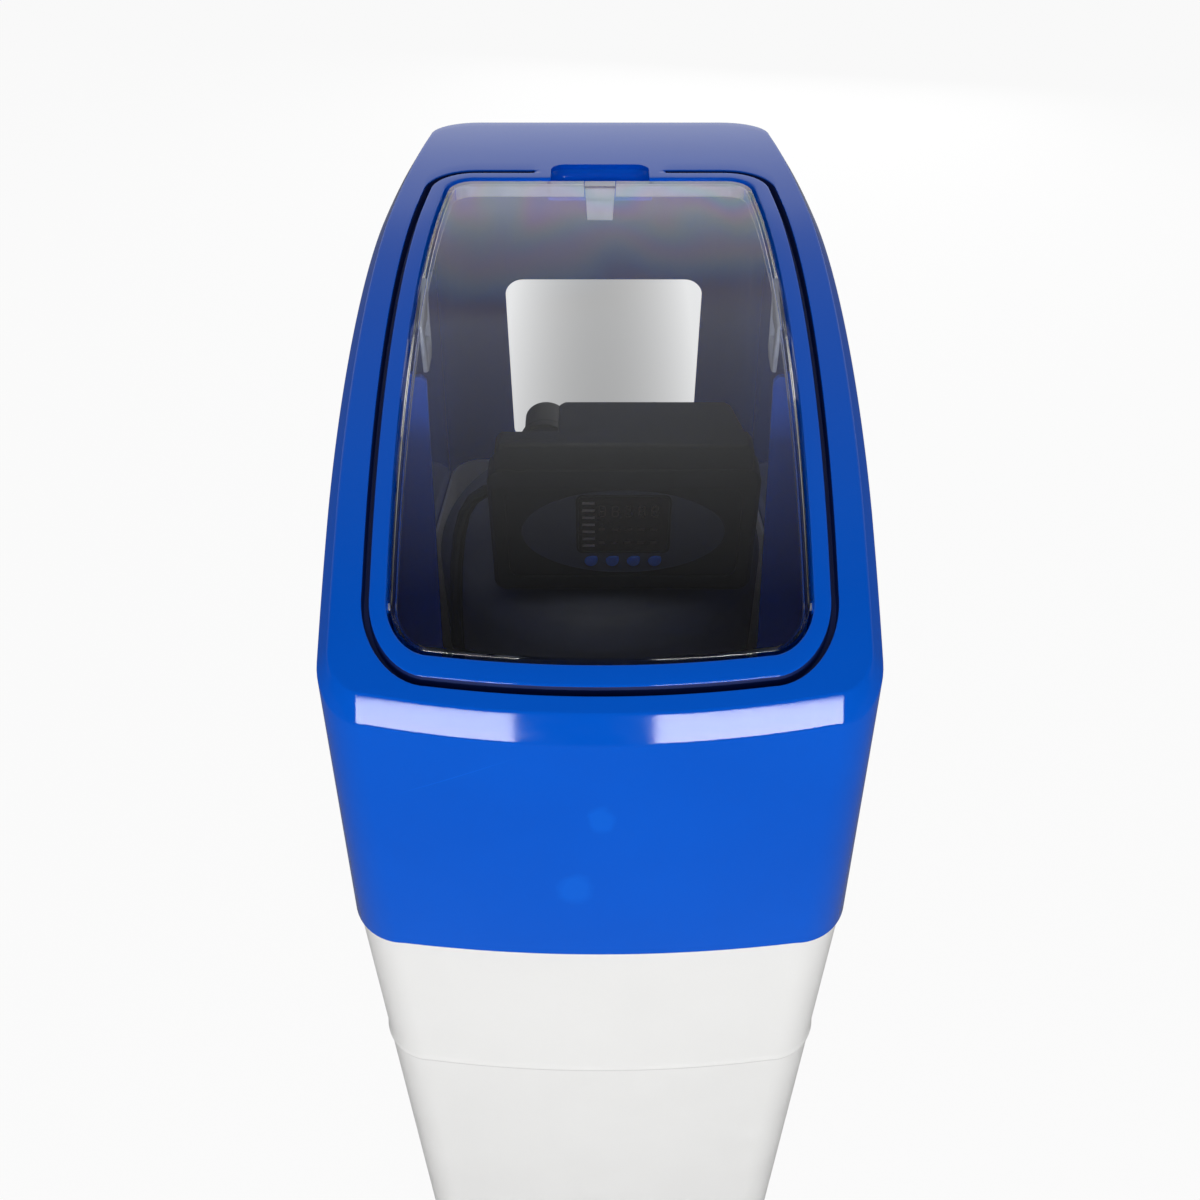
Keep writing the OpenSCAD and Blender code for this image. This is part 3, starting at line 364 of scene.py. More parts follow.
# %% One function for the simple finishes
def moulded(name, dark, light, rough, grain_mm, grain_strength, ior=1.5, metallic=0.0, stretch=(1, 1, 1)):
    material, tree, output, place = new_material(name)
    cloud = noise(tree, place, 30, 3)
    tint = add(tree, "ShaderNodeMix", {"data_type": "RGBA"},
               {"Factor": cloud.outputs["Fac"], "A": linear(dark), "B": linear(light)})
    along = add(tree, "ShaderNodeMapping", {}, {"Vector": place, "Scale": stretch}).outputs[0]
    grain = noise(tree, along, grain_mm, 2)
    bump = add(tree, "ShaderNodeBump", {}, {"Height": grain.outputs["Fac"], "Strength": grain_strength,
                                            "Distance": 0.0004})
    gloss = spread(tree, cloud.outputs["Fac"], 0.3, 0.7, rough * 0.85, rough * 1.15)
    shader = add(tree, "ShaderNodeBsdfPrincipled", {}, {
        "Base Color": tint.outputs["Result"], "Roughness": gloss, "IOR": ior, "Metallic": metallic,
        "Normal": bump.outputs["Normal"]})
    tree.links.new(shader.outputs[0], output.inputs["Surface"])
    return material


black_nylon = moulded("spark_textured_nylon_black", "#1B1E1F", "#232627", 0.5, 0.9, 0.06)
slate_film = moulded("printed_polyester_film_slate", "#4C5160", "#525867", 0.5, 1.2, 0.05)
panel_black = moulded("satin_abs_panel_black", "#17191B", "#1D2022", 0.42, 1.2, 0.06)
smoked_acrylic = moulded("smoked_acrylic_window", "#241A17", "#2A1F1B", 0.25, 20, 0.01, 1.49)
key_resin = moulded("gloss_key_resin_blue", "#3A74DA", "#4784EC", 0.16, 6, 0.03, 1.5)
zinc_steel = moulded("zinc_plated_steel", "#B4B6B8", "#C6C8CA", 0.3, 2.5, 0.1, 1.5, 1.0, (1, 8, 1))
ivory_acetal = moulded("moulded_acetal_ivory", "#DCD6C4", "#E6E1D2", 0.38, 3, 0.05)
alumina = moulded("lapped_alumina", "#E8E4DC", "#F0EDE6", 0.18, 0.8, 0.04, 1.7)
grey_ceramic = moulded("lapped_silicon_carbide", "#3A3B3E", "#46484C", 0.2, 0.8, 0.04, 1.8)
rubber = moulded("moulded_nitrile_rubber", "#101010", "#181818", 0.6, 0.8, 0.3)
white_pvc = moulded("extruded_pvc_white", "#E6E6E4", "#EFEFED", 0.3, 4, 0.04)
circuit_lacquer = moulded("lacquered_glass_epoxy_green", "#0E4A25", "#13592E", 0.25, 1.2, 0.15)
# The groove's walls: the hood's blue ABS made matt and darker. The darker colour is painted shade.
groove_shade_abs = moulded("matt_abs_painted_groove_shade", "#001A58", "#002066", 0.55, 1.0, 0.1)
wet_resin = moulded("ion_exchange_resin_beads", "#8A5A16", "#C08A30", 0.25, 1.0, 1.0)
print("finishes ready:", len(bpy.data.materials))

# %% [markdown]
# ## The resin tank's shell
# The tank is a plastic liner wound with glass fibre in resin. The winding crosses in long shallow spirals,
# and the resin over it is a little glossy and uneven. Two crossed wave patterns stand for the windings. Real
# strands are under a millimetre apart, so they are drawn 4 mm apart to show.

# %% Wound glass fibre
def wound_glass_fibre():
    material, tree, output, place = new_material("wound_glass_fibre_grey")
    heights = []
    for tilt in (1, -1):
        turned = add(tree, "ShaderNodeMapping", {},
                     {"Vector": place, "Rotation": (0, math.radians(20 * tilt), 0)})
        wave = add(tree, "ShaderNodeTexWave", {"bands_direction": "Z"},
                   {"Vector": turned.outputs[0], "Scale": 1000 / 4 / 20, "Distortion": 1.2, "Detail": 2.0})
        heights.append(wave.outputs["Fac"])
    both = add(tree, "ShaderNodeMath", {"operation": "ADD"}, {0: heights[0], 1: heights[1]})
    bump = add(tree, "ShaderNodeBump", {}, {"Height": both.outputs[0], "Strength": 0.12, "Distance": 0.0004})
    cloud = noise(tree, place, 40, 3)
    tint = add(tree, "ShaderNodeMix", {"data_type": "RGBA"},
               {"Factor": cloud.outputs["Fac"], "A": linear("#6E7074"), "B": linear("#84868A")})
    shader = add(tree, "ShaderNodeBsdfPrincipled", {}, {
        "Base Color": tint.outputs["Result"], "Roughness": 0.38, "IOR": 1.52,
        "Normal": bump.outputs["Normal"]})
    tree.links.new(shader.outputs[0], output.inputs["Surface"])
    return material


glass_fibre = wound_glass_fibre()

# %% [markdown]
# ## Driving sizes
# The hood, lid and cabinet are replaced by finer meshes, so they need the same few sizes that the
# engineering model was drawn from. All are in millimetres. The frame gives the overall box.

# %% Sizes, in millimetres
hood_low, hood_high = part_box("hood")
BODY_W = (hood_high.x - hood_low.x) / MM
BODY_D = (hood_high.y - hood_low.y) / MM
FRONT_Y = hood_low.y / MM
SEAM = hood_low.z / MM
HOOD_H = (hood_high.z - hood_low.z) / MM
BACK_W = 272
FRONT_BOW = 8
FRONT_CORNER, REAR_CORNER = 36, 30
HOOD_FRONT_H = 200
CREST_BACK = 315
REAR_DROP = 18
DRAFT = math.tan(math.radians(2.65))
CHAMFER_IN, CHAMFER_DOWN = 7, 11
WALL = 3
GROOVE_W, GROOVE_DEEP = 4, 8
RING_W = 13
LID_FRONT_W, LID_REAR_W = 221, 191
LID_FRONT, LID_LEN = 39, 318
LID_REAR = LID_FRONT + LID_LEN
LID_BOW = 4
LID_CORNER, LID_REAR_CORNER = 22, 16
LID_GAP = 2
LID_DROP = 1
LID_T, LID_SKIRT = 3, 12
print(f"body {BODY_W:.0f} x {BODY_D:.0f} mm, seam at {SEAM:.0f} mm")


def top_z(d):
    """Height of the hood's top above the seam, d millimetres behind the front."""
    d = np.asarray(d, float)
    rise = HOOD_H - (HOOD_H - HOOD_FRONT_H) * np.maximum((CREST_BACK - d) / CREST_BACK, 0) ** 1.86
    fall = HOOD_H - REAR_DROP * (np.maximum(d - CREST_BACK, 0) / (BODY_D - CREST_BACK)) ** 2
    return np.where(d < CREST_BACK, rise, fall)


def body_side(d):
    """Half width of the body, d millimetres behind the front."""
    return BODY_W / 2 - (BODY_W - BACK_W) / 2 * max(0, (d - 110) / (BODY_D - 110)) ** 1.6


def lid_side(d):
    """Half width of the lid, d millimetres behind the front."""
    return LID_FRONT_W / 2 - (LID_FRONT_W - LID_REAR_W) / 2 * max(0, (d - LID_FRONT) / LID_LEN) ** 2

# %% [markdown]
# ## Outlines that match point for point
# Body and lid have the same kind of plan: a bowed front, round corners, tapering sides and a straight back.
# If both outlines are drawn with the same number of points on each stretch, loops can be skinned from one to
# the other with clean quads, and every edge gets its own rounding. That is tidier than cutting shapes out of
# a block, because the shading stays smooth.

# %% Outlines
FRONT_N, CORNER_N, SIDE_N, REAR_CORNER_N, REAR_N = 22, 14, 64, 10, 34


def plan_outline(side, front, rear, bow, front_r, rear_r):
    """Points (x, d) and outward normals of a closed outline, from the front middle round by the right."""
    cx, cy = side(front) - front_r, front + bow + front_r
    ry = rear - rear_r
    rx = side(ry) - rear_r
    half = [(cx * k / FRONT_N, front + bow * (k / FRONT_N) ** 2) for k in range(FRONT_N)]
    for k in range(CORNER_N + 1):
        a = math.radians(-90 + 90 * k / CORNER_N)
        half.append((cx + front_r * math.cos(a), cy + front_r * math.sin(a)))
    for k in range(1, SIDE_N):
        d = cy + (ry - cy) * k / SIDE_N
        half.append((side(d), d))
    for k in range(REAR_CORNER_N + 1):
        a = math.radians(90 * k / REAR_CORNER_N)
        half.append((rx + rear_r * math.cos(a), ry + rear_r * math.sin(a)))
    half += [(rx * (1 - k / REAR_N), rear) for k in range(1, REAR_N + 1)]
    left = [(-x, d) for x, d in reversed(half[1:-1])]
    points = np.array(half + left)
    along = np.roll(points, -1, 0) - np.roll(points, 1, 0)
    normal = np.column_stack([along[:, 1], -along[:, 0]])
    return points, normal / np.linalg.norm(normal, axis=1)[:, None]


BODY_POINTS, BODY_NORMALS = plan_outline(body_side, 0, BODY_D, FRONT_BOW, FRONT_CORNER, REAR_CORNER)
ROUND_POINTS, ROUND_NORMALS = plan_outline(body_side, 0, BODY_D, FRONT_BOW, FRONT_CORNER, REAR_CORNER + 24)
LID_POINTS, LID_NORMALS = plan_outline(lid_side, LID_FRONT, LID_REAR, LID_BOW, LID_CORNER, LID_REAR_CORNER)


def place_loop(plan, height):
    """Points in millimetres from a plan (x, d) and heights above the seam."""
    height = np.broadcast_to(height, len(plan))
    return np.column_stack([plan[:, 0], plan[:, 1] + FRONT_Y, height + SEAM])


def body_loop(inset, height):
    return place_loop(BODY_POINTS - BODY_NORMALS * np.reshape(inset, (-1, 1)), height)


def lid_loop(grow, drop):
    """The lid's outline grown by grow, drop below the hood's top."""
    plan = LID_POINTS + LID_NORMALS * grow
    return place_loop(plan, top_z(plan[:, 1]) - drop)


def wall_loop(inset, drop):
    """Where the drafted wall, drawn in by inset, meets the top lowered by drop."""
    height = np.full(len(BODY_POINTS), HOOD_FRONT_H, float)
    for _ in range(8):
        shift = inset + height * DRAFT
        plan = ROUND_POINTS - ROUND_NORMALS * shift[:, None]
        height = top_z(plan[:, 1]) - drop
    return place_loop(plan, height)


print("points on each loop:", len(BODY_POINTS))

# %% [markdown]
# ## The hood
# The hood's section runs up the drafted wall, over a chamfer, across the top, down into a shadow groove, over
# the raised ring and down round the lid's opening, then back inside. Each corner of that section is one loop
# of points, and rounding a loop gives a moulded edge that catches the light. Behind the lid the groove fades
# out on both sides of the finger recess.

# %% Hood shell
def between(a, b, share):
    """A loop part of the way from a to b, kept on the hood's top."""
    plan = a[:, :2] * (1 - share) + b[:, :2] * share
    return np.column_stack([plan, top_z(plan[:, 1] - FRONT_Y) + SEAM])


def groove_depth():
    """Depth of the groove at each point: none behind the lid's middle."""
    plan = LID_POINTS + LID_NORMALS * RING_W
    behind = plan[:, 1] > LID_REAR
    away = np.clip((np.abs(plan[:, 0]) - 42) / 4, 0, 1)
    return np.where(behind, away * away * (3 - 2 * away), 1.0) * GROOVE_DEEP


def hood_shell():
    depth = groove_depth()
    outer_g, inner_g = RING_W + GROOVE_W / 2, RING_W - GROOVE_W / 2
    chamfer_top = wall_loop(CHAMFER_IN, 0)
    groove_outer = lid_loop(outer_g, 0)
    groove_inner = lid_loop(inner_g, 0)
    opening = lid_loop(LID_GAP, 0)
    section = [
        (body_loop(WALL, 0), 0.6), (body_loop(0, 0), 0.8), (wall_loop(0, CHAMFER_DOWN), 1.6),
        (chamfer_top, 1.6)]
    section += [(between(chamfer_top, groove_outer, s), 0) for s in (0.12, 0.3, 0.5, 0.7, 0.88)]
    section += [
        (groove_outer, 0.9), (lid_loop(outer_g - 0.3, depth), 0.8), (lid_loop(inner_g + 0.3, depth), 0.8),
        (groove_inner, 1.3), (between(groove_inner, opening, 0.5), 0), (opening, 1.3),
        (lid_loop(LID_GAP, 14), 0.5), (lid_loop(LID_GAP + 2.5, 14), 0.5), (lid_loop(LID_GAP + 2.5, 10), 0),
        (lid_loop(outer_g + 2.5, 10), 0), (lid_loop(outer_g + 2.5, WALL), 0),
        (wall_loop(CHAMFER_IN + WALL, WALL), 0), (wall_loop(WALL, CHAMFER_DOWN + WALL), 0)]
    loops = rounded_stack(*zip(*section), 5, True)
    return stack_mesh("hood_shell", loops, closed=True)


def rounded_plate(x0, x1, z0, z1, r, steps=8):
    """A closed outline (x, z) of a rectangle with round corners."""
    centres = [(x1 - r, z0 + r, -90), (x1 - r, z1 - r, 0), (x0 + r, z1 - r, 90), (x0 + r, z0 + r, 180)]
    return np.array([(cx + r * math.cos(math.radians(a + 90 * k / steps)),
                      cz + r * math.sin(math.radians(a + 90 * k / steps)))
                     for cx, cz, a in centres for k in range(steps + 1)])


def facing(outline, y):
    """An (x, z) outline as a loop at y, for pieces that face the front."""
    return np.column_stack([outline[:, 0], np.full(len(outline), float(y)), outline[:, 1]])


def lying(outline, z):
    """An (x, y) outline as a level loop at z."""
    return np.column_stack([outline, np.full(len(outline), float(z))])


WINDOW_X, WINDOW_W, WINDOW_Z, WINDOW_H = 3, 160, 32, 168
RECESS_W, RECESS_L, RECESS_DEEP = 64, 25, 13


def window_cutter():
    outline = rounded_plate(WINDOW_X - WINDOW_W / 2, WINDOW_X + WINDOW_W / 2, SEAM + WINDOW_Z,
                            SEAM + WINDOW_Z + WINDOW_H, 15)
    back = FRONT_Y + BODY_D
    return stack_mesh("window_cutter", [facing(outline, back - 40), facing(outline, back + 10)], caps="flat")


def recess_outline(grow, ahead=4):
    """Plan of the finger recess behind the lid, open towards it."""
    front, back = FRONT_Y + LID_REAR - ahead, FRONT_Y + LID_REAR + RECESS_L + grow
    half = RECESS_W / 2 + grow
    r = 9 + grow
    right = [(half, front)]
    for a in range(0, 91, 10):
        turn = math.radians(a)
        right.append((half - r + r * math.cos(turn), back - r + r * math.sin(turn)))
    return np.array(right + [(-x, y) for x, y in reversed(right)])


RECESS_FLOOR = SEAM + float(top_z(LID_REAR + RECESS_L)) - RECESS_DEEP
hood = hood_shell()
recess_cutter = stack_mesh("recess_cutter", [lying(recess_outline(0), RECESS_FLOOR - 6),
                                             lying(recess_outline(0), SEAM + HOOD_H + 20)], caps="flat")
cut(hood, window_cutter(), recess_cutter)
hood.data.shade_smooth()
hood.data.set_sharp_from_angle(angle=math.radians(32))
finish_piece(hood, "housing", blue_abs, "blue_hood", "hood")

# %% The groove's matt walls, painted darker as shade
# Faces deep in the groove get the darker blue, which is painted shade.
hood.data.materials.append(groove_shade_abs)
groove_faces = 0
for face in hood.data.polygons:
    x, y, z = face.center / MM
    drop = SEAM + float(top_z(y - FRONT_Y)) - z
    away = float(np.min(np.hypot(LID_POINTS[:, 0] - x, LID_POINTS[:, 1] + FRONT_Y - y)))
    in_groove = 1.0 < drop < GROOVE_DEEP + 0.5 and abs(away - RING_W) < GROOVE_W / 2 + 0.8
    face.material_index = 1 if in_groove else 0
    groove_faces += in_groove
print("faces in the groove:", groove_faces)

# %% [markdown]
# ## Inside the hood
# The finger recess is closed below by a moulded pocket, left open at the front so that the latch's tongue can
# hook its floor. An upright rib stiffens each side wall. Ribs and tongues are flat plates, so one function
# makes a plate from its outline and softens every edge, as a mould does.

# %% Recess pocket, slabs and ribs
def recess_pocket():
    """The moulded pocket that closes the finger recess, open at the front for the latch."""
    rim = SEAM + float(top_z(LID_REAR + RECESS_L)) - 1.5
    piece = stack_mesh("finger_recess_pocket", [lying(recess_outline(2, 0), RECESS_FLOOR - 2),
                                                lying(recess_outline(2, 0), rim)], caps="flat")
    hollow = rounded_stack([
        lying(recess_outline(-3), RECESS_FLOOR), lying(recess_outline(0.02), RECESS_FLOOR),
        lying(recess_outline(0.02), rim + 9)], [0, 3, 0], 5)
    return cut(piece, stack_mesh("pocket_hollow", hollow, caps="flat"))


def slab(name, corners_xz, y0, y1, bevel=0.6):
    """A flat piece with a given (x, z) outline between y0 and y1, with small rounded edges."""
    outline = np.array(corners_xz, float)
    piece = stack_mesh(name, [facing(outline, y0), facing(outline, y1)], caps="flat", sharp_degrees=50)
    soften(piece, bevel)
    return piece


def soften(piece, width_mm, segments=3):
    """Rounds a piece's edges for good."""
    change = piece.modifiers.new("edges", "BEVEL")
    change.width = width_mm * MM
    change.segments = segments
    change.limit_method = "ANGLE"
    change.angle_limit = math.radians(28)
    change.harden_normals = False
    bpy.context.view_layer.update()
    shape = bpy.data.meshes.new_from_object(piece.evaluated_get(bpy.context.evaluated_depsgraph_get()))
    piece.modifiers.clear()
    piece.data = shape
    piece.data.shade_smooth()
    piece.data.set_sharp_from_angle(angle=math.radians(40))
    return piece


RIB_D, RIB_T, RIB_TOP = 223, 4, 282


def hood_rib(side_sign, name):
    """Upright stiffening rib inside the hood's side wall."""
    wall_low = body_side(RIB_D) - WALL - 14 * DRAFT
    wall_top = body_side(RIB_D) - WALL - RIB_TOP * DRAFT
    edge_top, edge_low = lid_side(RIB_D) - 1, lid_side(RIB_D) + 12
    corners = [(edge_low, 13), (wall_low, 13), (wall_top, RIB_TOP), (edge_top + 3, RIB_TOP),
               (edge_top, RIB_TOP - 4)]
    corners = [(side_sign * x, SEAM + z) for x, z in corners]
    return slab(name, corners, FRONT_Y + RIB_D, FRONT_Y + RIB_D + RIB_T, 0.8)


finish_piece(recess_pocket(), "housing", blue_abs, "blue_hood")
for sign, word in ((-1, "left"), (1, "right")):
    finish_piece(hood_rib(sign, f"hood_rib_{word}"), "housing", blue_abs, "blue_hood")

# %% [markdown]
# ## The clear lid
# The lid is a thin plate that follows the hood's curve, with a skirt all round that stiffens it and hides its
# edge. In clear plastic each edge shows as a bright line, so the roundings matter more here than anywhere.
# The plate is skinned with strips that run straight across, because the hood's top curves in one direction
# only: that keeps reflections straight.

# %% Lid plate and skirt
LATCH_W = 20


def rounded_prism(name, x0, x1, y0, y1, z0, z1, r):
    """An upright block with round corners."""
    outline = rounded_plate(x0, x1, y0, y1, r, 6)
    return stack_mesh(name, [lying(outline, z0), lying(outline, z1)], caps="flat")


def lid_plate():
    foot, under = LID_DROP + LID_SKIRT, LID_DROP + LID_T
    section = [(lid_loop(-4, LID_DROP), 0), (lid_loop(0, LID_DROP), 1.1), (lid_loop(0, foot), 0.7),
               (lid_loop(-2.5, foot), 0.7), (lid_loop(-2.5, under), 1.5), (lid_loop(-6, under), 0)]
    loops = rounded_stack(*zip(*section), 5)
    piece = stack_mesh("lid_plate", loops, caps="strips")
    rear = FRONT_Y + LID_REAR
    return cut(piece, rounded_prism("latch_slot", -LATCH_W / 2 - 0.3, LATCH_W / 2 + 0.3, rear - 9, rear + 9,
                                    SEAM + 300, SEAM + HOOD_H + 9, 0.8))


lid = lid_plate()
lid.data.shade_smooth()
lid.data.set_sharp_from_angle(angle=math.radians(32))
finish_piece(lid, "lid", clear_lid, "clear_lid", "lid")
lid.data.materials.append(frosted_lid)
for face in lid.data.polygons:
    d = face.center.y / MM - FRONT_Y
    drop = SEAM + float(top_z(d)) - face.center.z / MM
    face.material_index = 1 if d > LID_REAR - 7 and drop > LID_DROP + 1.5 else 0

# %% Side clips and latch
CLIP_D0 = LID_FRONT + 174


def profile_slab(name, corners_dz, x0, x1, bevel=0.5):
    """A flat piece with a given (d, z) outline between x0 and x1."""
    outline = np.array(corners_dz, float)
    loops = [np.column_stack([np.full(len(outline), float(x)), outline[:, 0] + FRONT_Y, outline[:, 1] + SEAM])
             for x in (x0, x1)]
    piece = stack_mesh(name, loops, caps="flat", sharp_degrees=50)
    return soften(piece, bevel)


def lid_clip(side_sign, name):
    """Snap clip that hangs from the lid's side, with its window."""
    outer = lid_side(CLIP_D0 + 35) * side_sign
    inner = outer - 2.4 * side_sign
    corners = [(CLIP_D0, 322), (CLIP_D0 + 1, 291), (CLIP_D0 + 7, 288), (CLIP_D0 + 22, 288),
               (CLIP_D0 + 28, 292), (CLIP_D0 + 37, 331)]
    piece = profile_slab(name, corners, inner, outer)
    window = [(CLIP_D0 + 9, 302), (CLIP_D0 + 23, 302), (CLIP_D0 + 23, 314), (CLIP_D0 + 9, 314)]
    hole = profile_slab("clip_window", window, inner - 3 * side_sign, outer + 3 * side_sign, 0.01)
    return cut(piece, hole)


def lid_latch():
    """Springy tongue at the back of the lid: a thumb pad that turns down into a tapered tongue."""
    rear = FRONT_Y + LID_REAR
    top = SEAM + float(top_z(LID_REAR)) - 1.2
    half = LATCH_W / 2
    pad = [(-half, top), (half, top), (half, top - 3), (-half, top - 3)]
    tongue = [(-half, top), (half, top), (half - 1.6, top - 27), (-half + 1.6, top - 27)]
    lip = [(-half + 3, top - 16), (half - 3, top - 16), (half - 3.4, top - 20), (-half + 3.4, top - 20)]
    return [slab("lid_latch_pad", pad, rear - 8.7, rear - 2.3, 0.4),
            slab("lid_latch_tongue", tongue, rear - 2.4, rear, 0.5),
            slab("lid_latch_lip", lip, rear - 0.1, rear + 1.2, 0.4)]


for sign, word in ((-1, "left"), (1, "right")):
    finish_piece(lid_clip(sign, f"lid_clip_{word}"), "lid", frosted_lid, "clear_lid")
latch_parts = lid_latch()
for piece in latch_parts:
    finish_piece(piece, "latch", frosted_lid, "clear_lid")
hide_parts("lid_latch")

# %% [markdown]
# ## The cabinet
# The cabinet uses the body's outline again, drawn in by 2 mm so that the hood overhangs it. A thin bead runs
# round it below the hood, where the mould's two halves meet, and the bottom edge is well rounded so that it
# slides on a floor.

# %% Cabinet
RIM_STEP, CABINET_WALL, LIP_H = 2, 4, 12
OVERFLOW_X, OVERFLOW_Z, OVERFLOW_R = -90, 700, 10.4
BEAD_Z = SEAM - 166


def cabinet_shell():
    inner = RIM_STEP + CABINET_WALL
    lip = WALL + 0.9
    section = [
        (body_loop(30, -SEAM), 0), (body_loop(RIM_STEP, -SEAM), 5),
        (body_loop(RIM_STEP, BEAD_Z - 1.2 - SEAM), 0.4), (body_loop(RIM_STEP - 1.3, BEAD_Z - SEAM), 0.5),
        (body_loop(RIM_STEP - 0.9, BEAD_Z + 1.6 - SEAM), 0.8), (body_loop(RIM_STEP, BEAD_Z + 4 - SEAM), 0.8),
        (body_loop(RIM_STEP, 0), 0.8), (body_loop(lip, 0), 0.4), (body_loop(lip, LIP_H), 0.6),
        (body_loop(inner, LIP_H), 0.6), (body_loop(inner, CABINET_WALL - SEAM), 6),
        (body_loop(34, CABINET_WALL - SEAM), 0)]
    loops = rounded_stack(*zip(*section), 5)
    piece = stack_mesh("cabinet_shell", loops, caps="strips")
    back = FRONT_Y + BODY_D
    gap = rounded_plate(WINDOW_X - WINDOW_W / 2, WINDOW_X + WINDOW_W / 2, SEAM + 0.5, SEAM + 40, 3)
    turns = np.linspace(0, 2 * math.pi, 41)[:-1]
    hole = np.column_stack([OVERFLOW_X + OVERFLOW_R * np.cos(turns), OVERFLOW_Z + OVERFLOW_R * np.sin(turns)])
    return cut(piece, stack_mesh("gap", [facing(gap, back - 60), facing(gap, back + 9)], caps="flat"),
               stack_mesh("hole", [facing(hole, back - 60), facing(hole, back + 9)], caps="flat"))


cabinet = cabinet_shell()
cabinet.data.shade_smooth()
cabinet.data.set_sharp_from_angle(angle=math.radians(32))
finish_piece(cabinet, "housing", white_polyethylene, "white_cabinet", "cabinet")

# %% [markdown]
# ## The control valve's housing
# The valve's head is a wide front cover with a narrower gear housing behind it. Seen from above the two share
# one top face with a concave step on the left. Textured nylon hides fingerprints and takes soft highlights on
# its rounded edges.

# %% Valve housing
panel_low, panel_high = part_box("front_panel")
HEAD_X0, HEAD_X1 = panel_low.x / MM, panel_high.x / MM
HEAD_X = (HEAD_X0 + HEAD_X1) / 2
HEAD_Y = panel_low.y / MM
HEAD_Z, FACE_TOP = panel_low.z / MM, panel_high.z / MM
HEAD_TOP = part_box("valve_cover")[1].z / MM
COVER_D = 26
housing_low, housing_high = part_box("valve_gear_housing")
print(f"valve head {HEAD_X1 - HEAD_X0:.0f} mm wide, its middle {HEAD_X:.0f} mm right of the tank")


def head_top():
    """Top of the head: the wide front and the narrower back in one outline, with a concave left step."""
    gx0, gx1 = housing_low.x / MM, housing_high.x / MM
    back = housing_high.y / MM
    front = HEAD_Y + 7
    left, right = HEAD_X0 + 9, HEAD_X1 - 9
    shelf, r = front + 7, 9
    outline = [(left + 3, front), (right - 3, front), (right, front + 3), (right - 1, front + 12)]
    outline += [(gx1, back - 4), (gx1 - 4, back), (gx0 + 4, back), (gx0, back - 4), (gx0, shelf + r)]
    outline += [(gx0 - r + r * math.cos(math.radians(a)), shelf + r + r * math.sin(math.radians(a)))
                for a in range(-10, -90, -10)]
    outline += [(gx0 - r, shelf), (left + 4, shelf), (left, shelf - 4), (left, front + 3)]
    outline = np.array(outline)
    loops = [lying(outline, HEAD_TOP - 26), lying(outline, HEAD_TOP)]
    piece = stack_mesh("valve_head_top", loops, caps="flat", sharp_degrees=50)
    return soften(piece, 2.2, 4)


def cover_outline(grow):
    return rounded_plate(HEAD_X0 - grow, HEAD_X1 + grow, HEAD_Z - grow, FACE_TOP + grow, 10 + grow, 10)


def front_cover():
    """Wide shell behind the front panel. The finger ridges on its left side are separate pieces."""
    front, back = HEAD_Y + 4, HEAD_Y + COVER_D
    section = [(facing(cover_outline(-3), front), 0), (facing(cover_outline(0), front), 0.5),
               (facing(cover_outline(0), back), 4), (facing(cover_outline(-12), back), 0)]
    loops = rounded_stack(*zip(*section), 5)
    return stack_mesh("valve_front_cover", loops, caps="flat")


def sloped_brow():
    """The sloping band between the front panel and the top of the head."""
    left, right = HEAD_X0 + 6, HEAD_X1 - 6
    foot, crest, back = FACE_TOP - 14, HEAD_TOP - 0.2, HEAD_Y + COVER_D - 2
    profile = [(HEAD_Y + 4.2, foot), (HEAD_Y + 4.2, FACE_TOP - 1), (HEAD_Y + 7, HEAD_TOP - 2),
               (HEAD_Y + 9, crest), (back, crest), (back, foot)]
    loops = [np.array([(x, y, z) for y, z in profile]) for x in (left, left + 4, right - 4, right)]
    loops[0][:, 2] -= np.where(loops[0][:, 2] > FACE_TOP, 5, 0)
    loops[3][:, 2] -= np.where(loops[3][:, 2] > FACE_TOP, 5, 0)
    piece = stack_mesh("valve_brow", loops, caps="flat", sharp_degrees=50)
    return soften(piece, 1.2)


def gear_housing():
    gx0, gx1 = housing_low.x / MM, housing_high.x / MM
    z0 = housing_low.z / MM
    outline = rounded_plate(gx0, gx1, z0, HEAD_TOP - 20, 6)
    section = [(facing(outline, HEAD_Y + COVER_D - 1), 0), (facing(outline, HEAD_Y + 48), 3),
               (facing(rounded_plate(gx0 + 8, gx1 - 8, z0 + 8, HEAD_TOP - 28, 4), HEAD_Y + 48), 0)]
    loops = rounded_stack(*zip(*section), 5)
    return stack_mesh("valve_gear_case", loops, caps="flat")


finish_piece(head_top(), "housing", black_nylon, "valve_black", "valve_gear_housing")
finish_piece(front_cover(), "housing", black_nylon, "valve_black", "valve_cover")
finish_piece(sloped_brow(), "housing", black_nylon, "valve_black")
finish_piece(gear_housing(), "housing", black_nylon, "valve_black")

# %% Finger ridges on the cover's left side
RIDGES, RIDGE_PITCH, RIDGE_H = 7, 9, 4
for k in range(RIDGES):
    z0 = HEAD_Z + 30 + RIDGE_PITCH * k
    left, right, z1 = HEAD_X0 - 0.1, HEAD_X0 + 3, z0 + RIDGE_H
    corners = [(left, z0), (right, z0), (right, z1), (left, z1)]
    ridge = slab(f"valve_grip_ridge_{k + 1}", corners, HEAD_Y + 6, HEAD_Y + 20, 0.5)
    finish_piece(ridge, "housing", black_nylon, "valve_black")

# %% [markdown]
# ## Front panel, display and keys
# The panel is a satin frame round a shallow recess. A slate oval is printed on its film, with a smoked window
# in the middle and four blue keys below. The window shows only unlit segments, so they are a shade lighter
# than the smoke and no more.

# %% Front panel
PANEL_W, PANEL_H, PANEL_Z = 160, 78, HEAD_Z + 54.5
OVAL_RX, OVAL_RZ = 70, 37
SCREEN_W, SCREEN_H, SCREEN_Z = 62, 49, HEAD_Z + 63
RECESS_Y = HEAD_Y + 1.4


